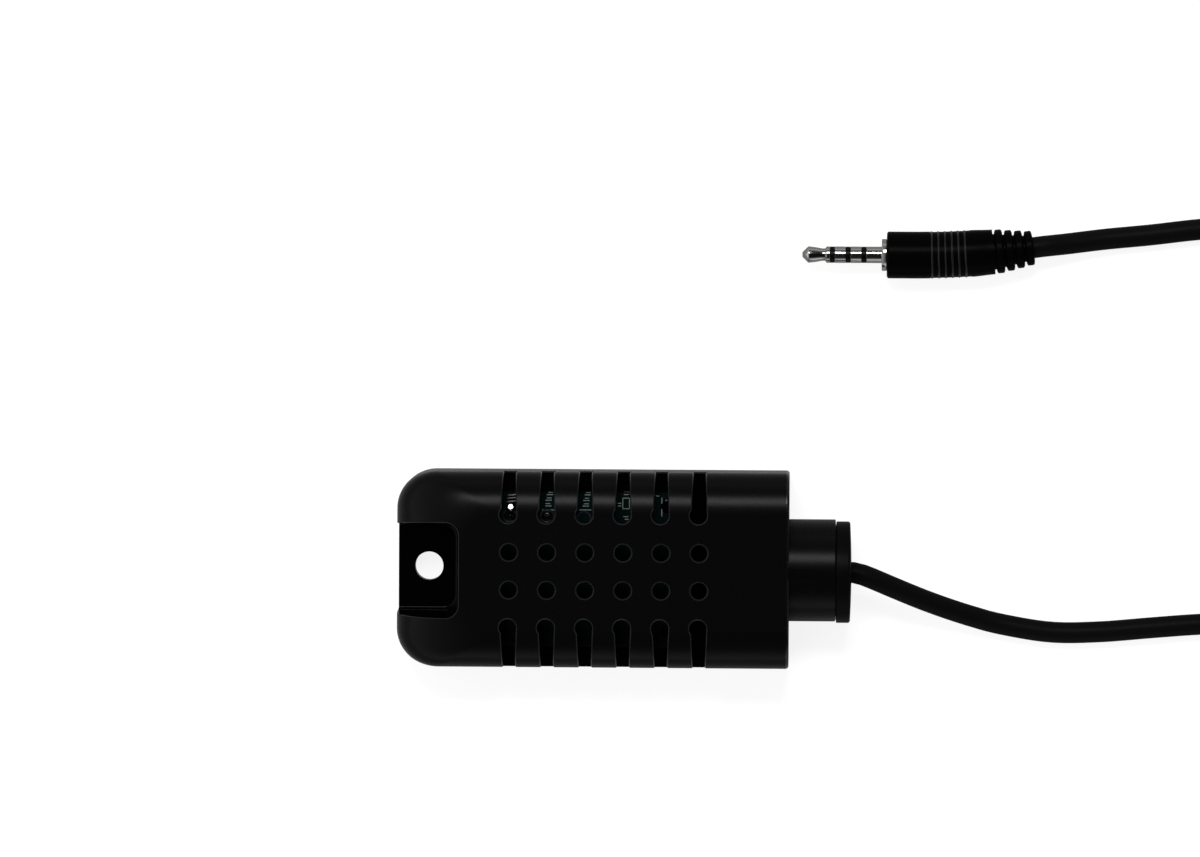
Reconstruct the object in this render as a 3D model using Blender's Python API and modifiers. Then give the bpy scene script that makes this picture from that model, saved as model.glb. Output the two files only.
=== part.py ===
"""Temperature and humidity probe: a vented two-part case with a fixing lug, a round neck with a
cable bushing, a small circuit board, a thin round cable and a four-pole jack plug.

The head lies on its back face. The origin is at the bottom centre of the head, +X runs along the
head towards the cable, +Z points out of the vented face. Lengths are in metres.
"""

from math import asin, cos, pi, radians, sin, sqrt, tan

import bmesh
import bpy
import numpy as np
from mathutils import Matrix, Vector

mm = 0.001

# Clearances
contact_gap = 0.3 * mm        # between pieces that touch
fine_gap = 0.1 * mm           # between the small turned pieces of the plug and the solder joints

# Head case
body_length = 59.2 * mm
head_width = 29.5 * mm
head_height = 15.5 * mm
split_height = head_height / 2   # parting plane of the two shells, and the neck's axis
wall = 1.5 * mm
corner_radius = 5.7 * mm      # corners of the lug end, seen from above
shoulder_width = 6.1 * mm     # rounded shoulder along both long sides
shoulder_drop = 5.2 * mm
end_slope_length = 9.7 * mm   # the vented face falls to the parting plane over this length
back_edge_radius = 1.0 * mm
cable_end_radius = 0.35 * mm  # rounded edge of the end face at the neck

# Lug and its recess
recess_length = 9.6 * mm
recess_width = 14.4 * mm
recess_corner_radius = 2.0 * mm
recess_draft = 3.4            # degrees, on all three walls
lug_thickness = 2.7 * mm
lug_hole_diameter = 4.3 * mm
lug_hole_inset = 4.6 * mm     # from the lug end to the hole's axis

# Vents
vent_columns = 6
vent_pitch = 5.71 * mm
first_vent_inset = 17.15 * mm  # from the lug end to the first column
vent_row_spacing = 5.66 * mm
vent_diameter = 2.56 * mm
vent_chamfer = 0.17 * mm
slot_end_offset = 8.55 * mm   # from the head's middle to the centre of a slot's round end
slot_end_diameter = 2.8 * mm
slot_inner_width = 2.3 * mm   # where the slot leaves its round end
slot_outer_width = 1.7 * mm   # at the side wall
slot_sill = 1.0 * mm          # rim left under each slot above the parting plane

# Neck and cable bushing
neck_length = 7.0 * mm
neck_step = 0.05 * mm         # the neck lies this far inside the head, above and below
neck_diameter = head_height - 2 * neck_step
flange_thickness = 2.1 * mm
flange_step = 0.05 * mm       # the flange lies this far inside the neck's outline
flange_crown = 0.2 * mm       # the flange's outer face is slightly domed
flange_edge_radius = 0.3 * mm
bushing_drop = 0.25 * mm      # the bushing sits a little off the neck's axis, towards -Y
spigot_length = 5.0 * mm

# Locating rails of the back shell
rail_thickness = 0.8 * mm
rail_rise = 0.8 * mm          # above the parting plane
rail_root = 3.0 * mm          # height joined to the side wall
rail_inset = 9.0 * mm         # from both ends of the cavity

# Circuit board
board_neck_room = 14.3 * mm    # from the board to the end wall at the neck
board_thickness = 1.6 * mm
board_seat = 1.85 * mm        # the board's underside lies this far below the parting plane
board_underside = split_height - board_seat
board_end_margin = 1.3 * mm   # from the recess wall to the board
board_hole_inset_x = 2.6 * mm
board_hole_inset_y = 2.45 * mm
peg_diameter = 1.4 * mm
peg_rise = 0.4 * mm           # above the board
post_diameter = 2.6 * mm
hold_down_diameter = 2.4 * mm
hold_down_inset = 1.4 * mm    # from the board's ends

# Parts on the board, placed from its lug end and its middle
sensor_size = 3.0 * mm
sensor_height = 1.1 * mm
sensor_place = (8.6 * mm, 0.0)
sensor_window_diameter = 1.0 * mm
sensor_window_depth = 0.3 * mm
capacitor_size = (1.25 * mm, 2.0 * mm, 0.85 * mm)
capacitor_place = (11.8 * mm, 0.0)
resistor_size = (0.8 * mm, 1.6 * mm, 0.45 * mm)
resistor_place = (14.2 * mm, 0.0)
resistor_pitch = 2.0 * mm
pad_count = 4
pad_pitch = 2.8 * mm
pad_place = (4.6 * mm, 7.9 * mm)   # first solder joint
solder_radius = 0.85 * mm
solder_height = 0.75 * mm
solder_shank_radius = 0.45 * mm
solder_dome = ((0.4, 0.9), (0.7, 0.6), (0.93, 0.15))   # shares of the radius and the height
block_edge = 0.08 * mm        # rounded edges of the small parts

# Cable and its conductors
cable_diameter = 3.2 * mm
wire_diameter = 1.1 * mm
wire_spread = 1.6 * mm        # spacing of the four wires where they leave the sheath
inner_end_reach = 6.5 * mm    # of the sheath, beyond the body's end wall
wire_run_depth = 2.3 * mm     # of the wires below the board's underside
wire_lane_pitch = 2.54 * mm   # between the wires where they pass under the board's end
wire_turn = 8.0 * mm          # each wire leaves its lane this far before its joint
inner_tie_width = 2.6 * mm
inner_tie_thickness = 1.0 * mm
inner_tie_head_width = 3.4 * mm
inner_tie_clearance = 1.1 * mm   # from the tie's head to the neck's bore

# Coil of the stored cable
coil_centre = (115.7 * mm, 16.1 * mm)
coil_mean_radius = 19.2 * mm
coil_layers = 4               # the bundle is this many turns wide and as many high
lead_joins_at = -90           # degrees round the coil, in its lowest layer
tail_leaves_at = 60           # degrees round the coil, in the layer above
strap_width = 6.0 * mm
strap_thickness = 0.8 * mm
strap_edge = 0.25 * mm

# Jack plug, along its axis from the tip
plug_place = (26.6 * mm, 47.55 * mm)
pin_diameter = 2.5 * mm
tip_face_diameter = 0.7 * mm
tip_cone_length = 0.86 * mm
tip_edge = 0.12 * mm
tip_waist_diameter = 1.9 * mm
tip_waist_distance = 3.45 * mm
tip_waist_length = 0.5 * mm
tip_flare_length = 0.18 * mm  # from the waist back up to the full diameter
tip_length = 4.15 * mm
insulator_width = 0.75 * mm
insulator_recess = 0.02 * mm  # below the contacts' surface
contact_ring_length = 1.64 * mm
sleeve_length = 2.32 * mm
collar_diameter = 4.84 * mm
collar_thickness = 0.75 * mm
core_diameter = 1.3 * mm      # spigots of the insulators inside the contacts
core_reach = 0.6 * mm
shank_diameter = 4.0 * mm     # the sleeve's root in the moulded grip
shank_length = 4.0 * mm
grip_diameter = 7.08 * mm
grip_edge_radius = 0.3 * mm
grip_smooth_length = 6.5 * mm
grip_ring_count = 6
grip_ring_pitch = 1.01 * mm
grip_ring_depth = 0.16 * mm
grip_groove_width = 0.4 * mm
grip_groove_slant = 0.1 * mm
grip_taper_length = 3.5 * mm
grip_end_diameter = 6.8 * mm
relief_ring_count = 4
relief_ring_length = 1.24 * mm
relief_notch_width = 0.26 * mm
relief_notch_depth = 0.7 * mm
relief_edge = 0.2 * mm
relief_end_diameter = 5.2 * mm
bend_start = 16.4 * mm        # the cable pulls the grip's end round a wide arc from here
bend_radius = 140.0 * mm

# Facets round a full turn
neck_facets = 48
vent_facets = 16
hole_facets = 32
post_facets = 14
grip_facets = 24
pin_facets = 20
ring_facets = 48
cable_facets = 16
small_facets = 12
corner_facets = 6
shoulder_facets = 6

# Places that follow from the sizes above
head_length = body_length + neck_length + contact_gap + flange_thickness
lug_end_x = -head_length / 2
body_end_x = lug_end_x + body_length
neck_end_x = body_end_x + neck_length
flange_x = neck_end_x + contact_gap
half_width = head_width / 2
neck_bore_radius = neck_diameter / 2 - wall
recess_wall_x = lug_end_x + recess_length + wall
board_width = head_width - 2 * (wall + contact_gap + rail_thickness + contact_gap)
board_x = recess_wall_x + board_end_margin
board_length = body_end_x - wall - board_neck_room - board_x
board_top = board_underside + board_thickness
wire_run_height = board_underside - wire_run_depth
cable_axis = Vector((0.0, -bushing_drop, split_height))
cable_bore_radius = cable_diameter / 2 + contact_gap
spigot_end_x = flange_x - spigot_length
inner_end_x = body_end_x - inner_end_reach
coil_bundle = coil_layers * cable_diameter
pin_length = tip_length + 3 * insulator_width + 2 * contact_ring_length + sleeve_length
grip_start = pin_length + collar_thickness + fine_gap
grip_rings_start = grip_start + grip_smooth_length
grip_taper_start = grip_rings_start + grip_ring_count * grip_ring_pitch
relief_start = grip_taper_start + grip_taper_length
plug_length = relief_start + relief_ring_count * (relief_notch_width + relief_ring_length)


def clear_scene():
    for old in list(bpy.data.objects):
        bpy.data.objects.remove(old, do_unlink=True)


def new_collection(name):
    group = bpy.data.collections.new(name)
    bpy.context.scene.collection.children.link(group)
    return group


def new_material(name, color, roughness, metallic=0.0):
    material = bpy.data.materials.new(name)
    material.use_nodes = True
    shader = material.node_tree.nodes["Principled BSDF"]
    shader.inputs["Base Color"].default_value = (*color, 1.0)
    shader.inputs["Roughness"].default_value = roughness
    shader.inputs["Metallic"].default_value = metallic
    material.diffuse_color = (*color, 1.0)
    return material


clear_scene()
parts = new_collection("temperature_humidity_probe")
cutters = new_collection("probe_cutters")

case_black = new_material("case_abs_black", (0.010, 0.010, 0.011), 0.42)
bushing_black = new_material("bushing_rubber_black", (0.012, 0.012, 0.013), 0.5)
cable_black = new_material("cable_pvc_black", (0.008, 0.008, 0.009), 0.45)
grip_black = new_material("grip_pvc_black", (0.008, 0.008, 0.009), 0.5)
strap_black = new_material("strap_fabric_black", (0.015, 0.015, 0.016), 0.8)
tie_white = new_material("tie_nylon_white", (0.75, 0.75, 0.72), 0.45)
board_green = new_material("board_solder_mask_green", (0.006, 0.045, 0.035), 0.35)
chip_black = new_material("chip_epoxy_black", (0.02, 0.02, 0.02), 0.5)
capacitor_tan = new_material("capacitor_ceramic_tan", (0.35, 0.24, 0.13), 0.5)
resistor_black = new_material("resistor_film_black", (0.03, 0.03, 0.03), 0.4)
solder_grey = new_material("solder_tin_grey", (0.65, 0.66, 0.68), 0.25, 1.0)
contact_nickel = new_material("contact_nickel", (0.66, 0.64, 0.60), 0.16, 1.0)
insulator_black = new_material("insulator_nylon_black", (0.012, 0.012, 0.012), 0.4)
wire_colors = (
    new_material("wire_pvc_red", (0.45, 0.02, 0.02), 0.45),
    new_material("wire_pvc_white", (0.7, 0.7, 0.7), 0.45),
    new_material("wire_pvc_yellow", (0.6, 0.45, 0.03), 0.45),
    new_material("wire_pvc_black", (0.015, 0.015, 0.015), 0.45),
)


def add_object(name, data, material, place=(0, 0, 0), parent=None):
    """A visible piece with its material, placed at a point or under an empty."""
    piece = bpy.data.objects.new(name, data)
    piece.location = place
    piece.parent = parent
    data.materials.append(material)
    parts.objects.link(piece)
    return piece


def add_cutter(name, data, place=(0, 0, 0)):
    cutter = bpy.data.objects.new(name, data)
    cutter.location = place
    cutter.hide_render = True
    cutter.display_type = "WIRE"
    cutters.objects.link(cutter)
    return cutter


def add_empty(name, place, rotation=(0, 0, 0)):
    empty = bpy.data.objects.new(name, None)
    empty.location = place
    empty.rotation_euler = rotation
    parts.objects.link(empty)
    return empty


def mesh_from(bm, name):
    """Close a bmesh off into a mesh with its faces pointing out."""
    bmesh.ops.recalc_face_normals(bm, faces=bm.faces[:])
    mesh = bpy.data.meshes.new(name)
    bm.to_mesh(mesh)
    bm.free()
    return mesh


def smooth(piece, angle=35):
    piece.data.shade_smooth()
    piece.data.set_sharp_from_angle(angle=radians(angle))


def add_loft(bm, rings):
    """A closed skin through rings of equally many points, with a flat face on both ends."""
    loops = [[bm.verts.new(point) for point in ring] for ring in rings]
    count = len(loops[0])
    for low, high in zip(loops, loops[1:]):
        for i in range(count):
            j = (i + 1) % count
            bm.faces.new((low[i], low[j], high[j], high[i]))
    bm.faces.new(list(reversed(loops[0])))
    bm.faces.new(loops[-1])


def add_box(bm, low, high):
    """A box between two corners."""
    size = [b - a for a, b in zip(low, high)]
    middle = [(a + b) / 2 for a, b in zip(low, high)]
    place = Matrix.Translation(middle) @ Matrix.Diagonal((*size, 1.0))
    bmesh.ops.create_cube(bm, size=1.0, matrix=place)


def add_cylinder(bm, radius, low, high, facets, axis="Z"):
    """A cylinder from one point along X or Z to another at the same offsets."""
    low, high = Vector(low), Vector(high)
    place = Matrix.Translation((low + high) / 2)
    if axis == "X":
        place = place @ Matrix.Rotation(pi / 2, 4, "Y")
    bmesh.ops.create_cone(bm, cap_ends=True, segments=facets, radius1=radius, radius2=radius,
                          depth=(high - low).length, matrix=place)


def boolean(piece, cutter, operation="DIFFERENCE"):
    modifier = piece.modifiers.new(f"{operation.lower()} {cutter.name}", "BOOLEAN")
    modifier.operation = operation
    modifier.solver = "EXACT"
    modifier.object = cutter


def bevel(piece, width, segments=2, angle=40):
    modifier = piece.modifiers.new("rounded edges", "BEVEL")
    modifier.width = width
    modifier.segments = segments
    modifier.limit_method = "ANGLE"
    modifier.angle_limit = radians(angle)


def turned_profile(name, profile):
    """A mesh of a (radius, height) outline for a Screw about its own Z axis."""
    mesh = bpy.data.meshes.new(name)
    closed = profile[0][0] > 0
    edges = [(i, i + 1) for i in range(len(profile) - 1)]
    if closed:
        edges.append((len(profile) - 1, 0))
    mesh.from_pydata([(r, 0, z) for r, z in profile], edges, [])
    return mesh


def add_screw(piece, facets):
    screw = piece.modifiers.new("turned", "SCREW")
    screw.axis = "Z"
    screw.angle = 2 * pi
    screw.steps = facets
    screw.render_steps = facets
    screw.use_merge_vertices = True
    screw.merge_threshold = 0.00001
    screw.use_smooth_shade = True


def turned(name, profile, facets, material, place=(0, 0, 0), parent=None):
    """A turned piece: the outline runs down its outer side, and a closed outline is a ring."""
    piece = add_object(name, turned_profile(name, profile), material, place, parent)
    add_screw(piece, facets)
    return piece


def tube(name, points, radius, material, parent=None):
    """A round cord through the points, with flat ends."""
    curve = bpy.data.curves.new(name, "CURVE")
    curve.dimensions = "3D"
    curve.bevel_depth = radius
    curve.bevel_resolution = 2
    curve.use_fill_caps = True
    spline = curve.splines.new("POLY")
    spline.points.add(len(points) - 1)
    for point, place in zip(spline.points, points):
        point.co = (*place, 1.0)
    return add_object(name, curve, material, parent=parent)


def smooth_route(points, spacing):
    """Evenly spaced points on a Catmull-Rom curve through the given ones."""
    knots = np.array([list(point) for point in points], float)
    ends = np.vstack([2 * knots[0] - knots[1], knots, 2 * knots[-1] - knots[-2]])
    t = np.linspace(0, 1, 24, endpoint=False)[:, None]
    dense = []
    for a, b, c, d in zip(ends, ends[1:], ends[2:], ends[3:]):
        dense.append(0.5 * (2 * b + (c - a) * t + (2 * a - 5 * b + 4 * c - d) * t ** 2
                            + (3 * b - a - 3 * c + d) * t ** 3))
    dense = np.vstack(dense + [knots[-1:]])
    along = np.concatenate([[0], np.cumsum(np.linalg.norm(np.diff(dense, axis=0), axis=1))])
    steps = np.linspace(0, along[-1], max(3, round(along[-1] / spacing) + 1))
    return [Vector([np.interp(s, along, dense[:, k]) for k in range(3)]) for s in steps]


def arc(centre, radius, start, end, steps):
    """Points on an arc in the XY plane, angles in degrees."""
    angles = [radians(start + (end - start) * i / steps) for i in range(steps + 1)]
    return [(centre[0] + radius * cos(a), centre[1] + radius * sin(a)) for a in angles]


def plan_outline(left_x, right_x, half, radius):
    """The head seen from above: round corners at the lug end, square ones at the neck."""
    upper = arc((left_x + radius, half - radius), radius, 90, 180, corner_facets)
    lower = arc((left_x + radius, -half + radius), radius, 180, 270, corner_facets)
    return [(right_x, -half), (right_x, half)] + upper + lower


def front_inset(height, width, drop, slope):
    """How far the front shell's sides and lug end lie inside its outline at a height."""
    top = head_height - drop
    side = 0.0
    if height > top:
        side = width * (1 - sqrt(max(0.0, 1 - ((height - top) / drop) ** 2)))
    rise = (height - split_height) / (head_height - split_height)
    end = slope * (1 - sqrt(max(0.0, 1 - rise ** 2)))
    return side, end


def front_levels(low):
    """Heights of the front shell's rings: the wall, then equal angles round the shoulder."""
    spring = head_height - shoulder_drop
    turns = [radians(90 * i / shoulder_facets) for i in range(shoulder_facets + 1)]
    return [low, (low + spring) / 2] + [spring + shoulder_drop * sin(a) for a in turns]


def front_rings(low, inset):
    """Rings of the front shell's skin, or of its cavity when inset by the wall."""
    rings = []
    for height in front_levels(low):
        side, end = front_inset(height, shoulder_width, shoulder_drop, end_slope_length)
        shrink = (head_height - inset - low) / (head_height - low)
        z = low + (height - low) * shrink
        outline = plan_outline(lug_end_x + inset + end, body_end_x - inset,
                               half_width - inset - side, corner_radius)
        rings.append([(x, y, z) for x, y in outline])
    return rings


def back_rings(high, inset):
    """Rings of the back shell's skin, or of its cavity when inset by the wall."""
    turns = [radians(90 * i / 3) for i in range(4)]
    levels = [(back_edge_radius * (1 - cos(a)), back_edge_radius * (1 - sin(a))) for a in turns]
    if inset:
        levels = [(0.0, 0.0)]
    levels.append((high - inset, 0.0))
    rings = []
    for rise, pull in levels:
        outline = plan_outline(lug_end_x + inset + pull, body_end_x - inset,
                               half_width - inset - pull, corner_radius)
        rings.append([(x, y, inset + rise) for x, y in outline])
    return rings


def recess_rings(low, high, grow):
    """The drafted recess over the lug, open at the lug end, grown by a wall or by nothing."""
    rings = []
    for height in (low, high):
        pull = (head_height - height) * tan(radians(recess_draft))
        half = recess_width / 2 - pull + grow
        end = lug_end_x + recess_length - pull + grow
        radius = recess_corner_radius + grow
        outside = lug_end_x - 2 * wall
        outline = [(outside, -half)]
        outline += arc((end - radius, -half + radius), radius, -90, 0, 4)
        outline += arc((end - radius, half - radius), radius, 0, 90, 4)
        outline += [(outside, half)]
        rings.append([(x, y, height) for x, y in outline])
    return rings


def half_neck_rings(start_x, end_x, side):
    """Half of the neck, above (side 1) or below (side -1) the parting plane."""
    radius = neck_diameter / 2
    lift = contact_gap / 2
    first = asin(lift / radius)
    steps = neck_facets // 2
    angles = [first + (pi - 2 * first) * i / steps for i in range(steps + 1)]
    outline = [(radius * cos(a), split_height + side * radius * sin(a)) for a in angles]
    return [[(x, y, z) for y, z in outline] for x in (start_x, end_x)]


def vent_places():
    return [lug_end_x + first_vent_inset + vent_pitch * i for i in range(vent_columns)]


def round_vents():
    """Chamfered holes, two rows of them, as one cutter."""
    bm = bmesh.new()
    radius = vent_diameter / 2
    over = vent_chamfer
    levels = (
        (radius, head_height - 2 * wall),
        (radius, head_height - vent_chamfer),
        (radius + vent_chamfer + over, head_height + over),
    )
    for x in vent_places():
        for side in (-1, 1):
            centre = (x, side * vent_row_spacing / 2)
            rings = []
            for size, z in levels:
                ring = arc(centre, size, 0, 360, vent_facets)[:-1]
                rings.append([(px, py, z) for px, py in ring])
            add_loft(bm, rings)
    return add_cutter("round_vents", mesh_from(bm, "round_vents"))


def slot_vents():
    """Keyhole slots that run over the shoulder and down the side wall, as one cutter."""
    bm = bmesh.new()
    radius = slot_end_diameter / 2
    neck = slot_inner_width / 2
    mouth = slot_outer_width / 2
    open_angle = asin(min(1.0, neck / radius)) * 180 / pi
    outer = half_width + wall
    for x in vent_places():
        for side in (-1, 1):
            centre = (x, side * slot_end_offset)
            start, end = 90 - open_angle, -270 + open_angle
            ring = arc((0, 0), radius, start, end, small_facets)
            outline = [(px + x, side * py + centre[1]) for px, py in ring]
            outline += [(x - mouth, side * outer), (x + mouth, side * outer)]
            low, high = split_height + slot_sill, head_height + wall
            add_loft(bm, [[(px, py, z) for px, py in outline] for z in (low, high)])
    return add_cutter("slot_vents", mesh_from(bm, "slot_vents"))


def shell_cutters():
    """Cutters that the two shells share: the recess, the bore of the neck, and the recess wall."""
    bm = bmesh.new()
    add_loft(bm, recess_rings(lug_thickness, head_height + wall, 0.0))
    recess = add_cutter("recess", mesh_from(bm, "recess"))
    bm = bmesh.new()
    add_loft(bm, recess_rings(-wall, head_height + wall, wall))
    lining = add_cutter("recess_lining", mesh_from(bm, "recess_lining"))
    bm = bmesh.new()
    start = (body_end_x - 2 * wall, 0, split_height)
    add_cylinder(bm, neck_bore_radius, start, (neck_end_x + wall, 0, split_height),
                 neck_facets, "X")
    bore = add_cutter("neck_bore", mesh_from(bm, "neck_bore"))
    return recess, lining, bore


def cavity_cutter(name, rings, lining):
    """The hollow of a shell, less the wall that lines the recess."""
    bm = bmesh.new()
    add_loft(bm, rings)
    cavity = add_cutter(name, mesh_from(bm, name))
    boolean(cavity, lining)
    return cavity


def round_cable_end(bm, split_z):
    """Round the edges of the end face at the neck, apart from those on the parting plane."""
    edges = []
    for edge in bm.edges:
        ends = [vert.co for vert in edge.verts]
        on_face = all(abs(co.x - body_end_x) < 0.01 * mm for co in ends)
        on_split = all(abs(co.z - split_z) < 0.01 * mm for co in ends)
        if on_face and not on_split and len(edge.link_faces) == 2 and edge.calc_face_angle() > 1:
            edges.append(edge)
    bmesh.ops.bevel(bm, geom=edges, offset=cable_end_radius, segments=2, affect="EDGES",
                    clamp_overlap=True)


def board_hole_places():
    near_x = board_x + board_hole_inset_x
    far_x = board_x + board_length - board_hole_inset_x
    y = board_width / 2 - board_hole_inset_y
    return [(x, side * y) for x in (near_x, far_x) for side in (-1, 1)]


def make_front_shell(recess, lining, bore):
    low = split_height + contact_gap / 2
    bm = bmesh.new()
    add_loft(bm, front_rings(low, 0.0))
    round_cable_end(bm, low)
    shell = add_object("front_shell", mesh_from(bm, "front_shell"), case_black)

    bm = bmesh.new()
    add_loft(bm, half_neck_rings(body_end_x - wall, neck_end_x, 1))
    neck = add_cutter("front_neck", mesh_from(bm, "front_neck"))
    boolean(shell, neck, "UNION")
    boolean(shell, cavity_cutter("front_cavity", front_rings(low - wall, wall), lining))
    boolean(shell, bore)
    boolean(shell, recess)
    boolean(shell, round_vents())
    boolean(shell, slot_vents())

    bm = bmesh.new()
    for x in (board_x + hold_down_inset, board_x + board_length - hold_down_inset):
        add_cylinder(bm, hold_down_diameter / 2, (x, 0, board_top + contact_gap),
                     (x, 0, head_height - wall / 2), post_facets)
    boolean(shell, add_cutter("hold_downs", mesh_from(bm, "hold_downs")), "UNION")
    smooth(shell, 30)
    return shell


def make_back_shell(recess, lining, bore):
    high = split_height - contact_gap / 2
    bm = bmesh.new()
    add_loft(bm, back_rings(high, 0.0))
    round_cable_end(bm, high)
    shell = add_object("back_shell", mesh_from(bm, "back_shell"), case_black)

    bm = bmesh.new()
    add_loft(bm, half_neck_rings(body_end_x - wall, neck_end_x, -1))
    neck = add_cutter("back_neck", mesh_from(bm, "back_neck"))
    boolean(shell, neck, "UNION")
    boolean(shell, cavity_cutter("back_cavity", back_rings(high + wall, wall), lining))
    boolean(shell, bore)
    boolean(shell, recess)

    bm = bmesh.new()
    hole_x = lug_end_x + lug_hole_inset
    add_cylinder(bm, lug_hole_diameter / 2, (hole_x, 0, -wall),
                 (hole_x, 0, lug_thickness + wall), hole_facets)
    boolean(shell, add_cutter("lug_hole", mesh_from(bm, "lug_hole")))

    boolean(shell, board_posts(), "UNION")
    boolean(shell, locating_rails(), "UNION")
    smooth(shell, 30)
    return shell


def board_posts():
    """Four posts with pegs that pass through the board."""
    bm = bmesh.new()
    for x, y in board_hole_places():
        rings = []
        for radius, z in (
            (post_diameter / 2, wall / 2),
            (post_diameter / 2, board_underside - contact_gap),
            (peg_diameter / 2, board_underside - contact_gap),
            (peg_diameter / 2, board_top + peg_rise),
        ):
            ring = arc((x, y), radius, 0, 360, post_facets)[:-1]
            rings.append([(px, py, z) for px, py in ring])
        add_loft(bm, rings)
    return add_cutter("board_posts", mesh_from(bm, "board_posts"))


def locating_rails():
    """Two rails inside the long walls that stand up behind the front shell's walls."""
    bm = bmesh.new()
    outer = half_width - wall - contact_gap
    top = split_height + rail_rise
    seat = split_height - contact_gap / 2
    bottom = seat - rail_root
    start, end = recess_wall_x + rail_inset, body_end_x - wall - rail_inset
    for side in (-1, 1):
        section = [
            (outer - rail_thickness, bottom), (half_width - wall / 2, bottom),
            (half_width - wall / 2, seat - contact_gap), (outer, seat - contact_gap),
            (outer, top), (outer - rail_thickness, top),
        ]
        add_loft(bm, [[(x, side * y, z) for y, z in section] for x in (start, end)])
    return add_cutter("locating_rails", mesh_from(bm, "locating_rails"))


def make_bushing():
    """Flange and spigot, turned about the cable's axis, with the cable's bore."""
    radius = neck_diameter / 2 - flange_step
    spigot = neck_bore_radius - contact_gap - bushing_drop
    edge = flange_edge_radius
    face = flange_thickness - flange_crown
    bore = cable_bore_radius
    reach = radius - edge - bore
    profile = [(bore + reach * t, flange_thickness - flange_crown * t * t) for t in (0, 0.5)]
    turns = [radians(90 * i / 3) for i in range(4)]
    profile += [(radius - edge + edge * sin(a), face - edge + edge * cos(a)) for a in turns]
    profile += [(radius, 0), (spigot, 0), (spigot, -spigot_length), (bore, -spigot_length)]
    axis = add_empty("bushing_axis", (flange_x, cable_axis.y, cable_axis.z), (0, pi / 2, 0))
    return turned("cable_bushing", profile, neck_facets, bushing_black, parent=axis)


def make_board():
    bm = bmesh.new()
    add_box(bm, (0, -board_width / 2, 0), (board_length, board_width / 2, board_thickness))
    board = add_object("circuit_board", mesh_from(bm, "circuit_board"), board_green,
                       (board_x, 0, board_underside))
    bm = bmesh.new()
    for x, y in board_hole_places():
        add_cylinder(bm, peg_diameter / 2 + contact_gap, (x, y, board_underside - wall),
                     (x, y, board_top + wall), post_facets)
    for x, y in pad_places():
        add_cylinder(bm, solder_shank_radius + contact_gap, (x, y, board_underside - wall),
                     (x, y, board_top + wall), small_facets)
    boolean(board, add_cutter("board_holes", mesh_from(bm, "board_holes")))
    return board


def pad_places():
    return [(board_x + pad_place[0] + pad_pitch * i, pad_place[1]) for i in range(pad_count)]


def make_chip():
    """The sensing chip, with the small round window that lets the air in."""
    bm = bmesh.new()
    half = sensor_size / 2
    add_box(bm, (-half, -half, 0), (half, half, sensor_height))
    x, y = board_x + sensor_place[0], sensor_place[1]
    place = (x, y, board_top + fine_gap)
    chip = add_object("humidity_sensor", mesh_from(bm, "humidity_sensor"), chip_black, place)
    bm = bmesh.new()
    top = place[2] + sensor_height
    add_cylinder(bm, sensor_window_diameter / 2, (x, y, top - sensor_window_depth),
                 (x, y, top + sensor_window_depth), small_facets)
    boolean(chip, add_cutter("sensor_window", mesh_from(bm, "sensor_window")))


def make_small_block(name, size, place, material):
    """A small soldered part with slightly rounded edges, standing on the board."""
    bm = bmesh.new()
    width, length, height = size
    add_box(bm, (-width / 2, -length / 2, 0), (width / 2, length / 2, height))
    x, y = board_x + place[0], place[1]
    block = add_object(name, mesh_from(bm, name), material, (x, y, board_top + fine_gap))
    bevel(block, block_edge, 1)


def make_board_parts():
    make_chip()
    make_small_block("bypass_capacitor", capacitor_size, capacitor_place, capacitor_tan)
    for i in range(2):
        place = (resistor_place[0] + resistor_pitch * i, resistor_place[1])
        make_small_block(f"bus_resistor_{i + 1}", resistor_size, place, resistor_black)
    profile = [(0, solder_height)]
    profile += [(share * solder_radius, rise * solder_height) for share, rise in solder_dome]
    profile += [
        (solder_radius, 0), (solder_shank_radius, 0),
        (solder_shank_radius, -board_thickness - fine_gap), (0, -board_thickness - fine_gap),
    ]
    for i, (x, y) in enumerate(pad_places()):
        turned(f"solder_joint_{i + 1}", profile, small_facets, solder_grey, (x, y, board_top + fine_gap))


def make_wires():
    """Four conductors that fan out of the sheath, dive under the board and rise to their joints."""
    start_x = inner_end_x - contact_gap
    end_z = board_underside - contact_gap
    board_end = board_x + board_length
    for i, (pad_x, pad_y) in enumerate(pad_places()):
        right = 1 if i >= pad_count / 2 else -1
        above = 1 if i % 2 == 0 else -1
        y0 = cable_axis.y + right * wire_spread / 2
        z0 = cable_axis.z + above * wire_spread / 2
        lane = (i - (pad_count - 1) / 2) * wire_lane_pitch
        route = [
            (start_x, y0, z0),
            (start_x - wire_diameter, y0, z0),
            (board_end + 2 * wire_diameter, lane, wire_run_height + 0.8 * wire_diameter),
            (board_end - 2 * wire_diameter, lane, wire_run_height),
            (pad_x + wire_turn, lane, wire_run_height),
            (pad_x + 0.5 * wire_diameter, pad_y - 0.8 * wire_diameter, wire_run_height),
            (pad_x, pad_y, end_z - wire_diameter),
            (pad_x, pad_y, end_z),
        ]
        points = smooth_route(route, 2 * wire_diameter)
        points[-2] = Vector((pad_x, pad_y, end_z - wire_diameter))
        tube(f"wire_{i + 1}", points, wire_diameter / 2, wire_colors[i % len(wire_colors)])


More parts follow.
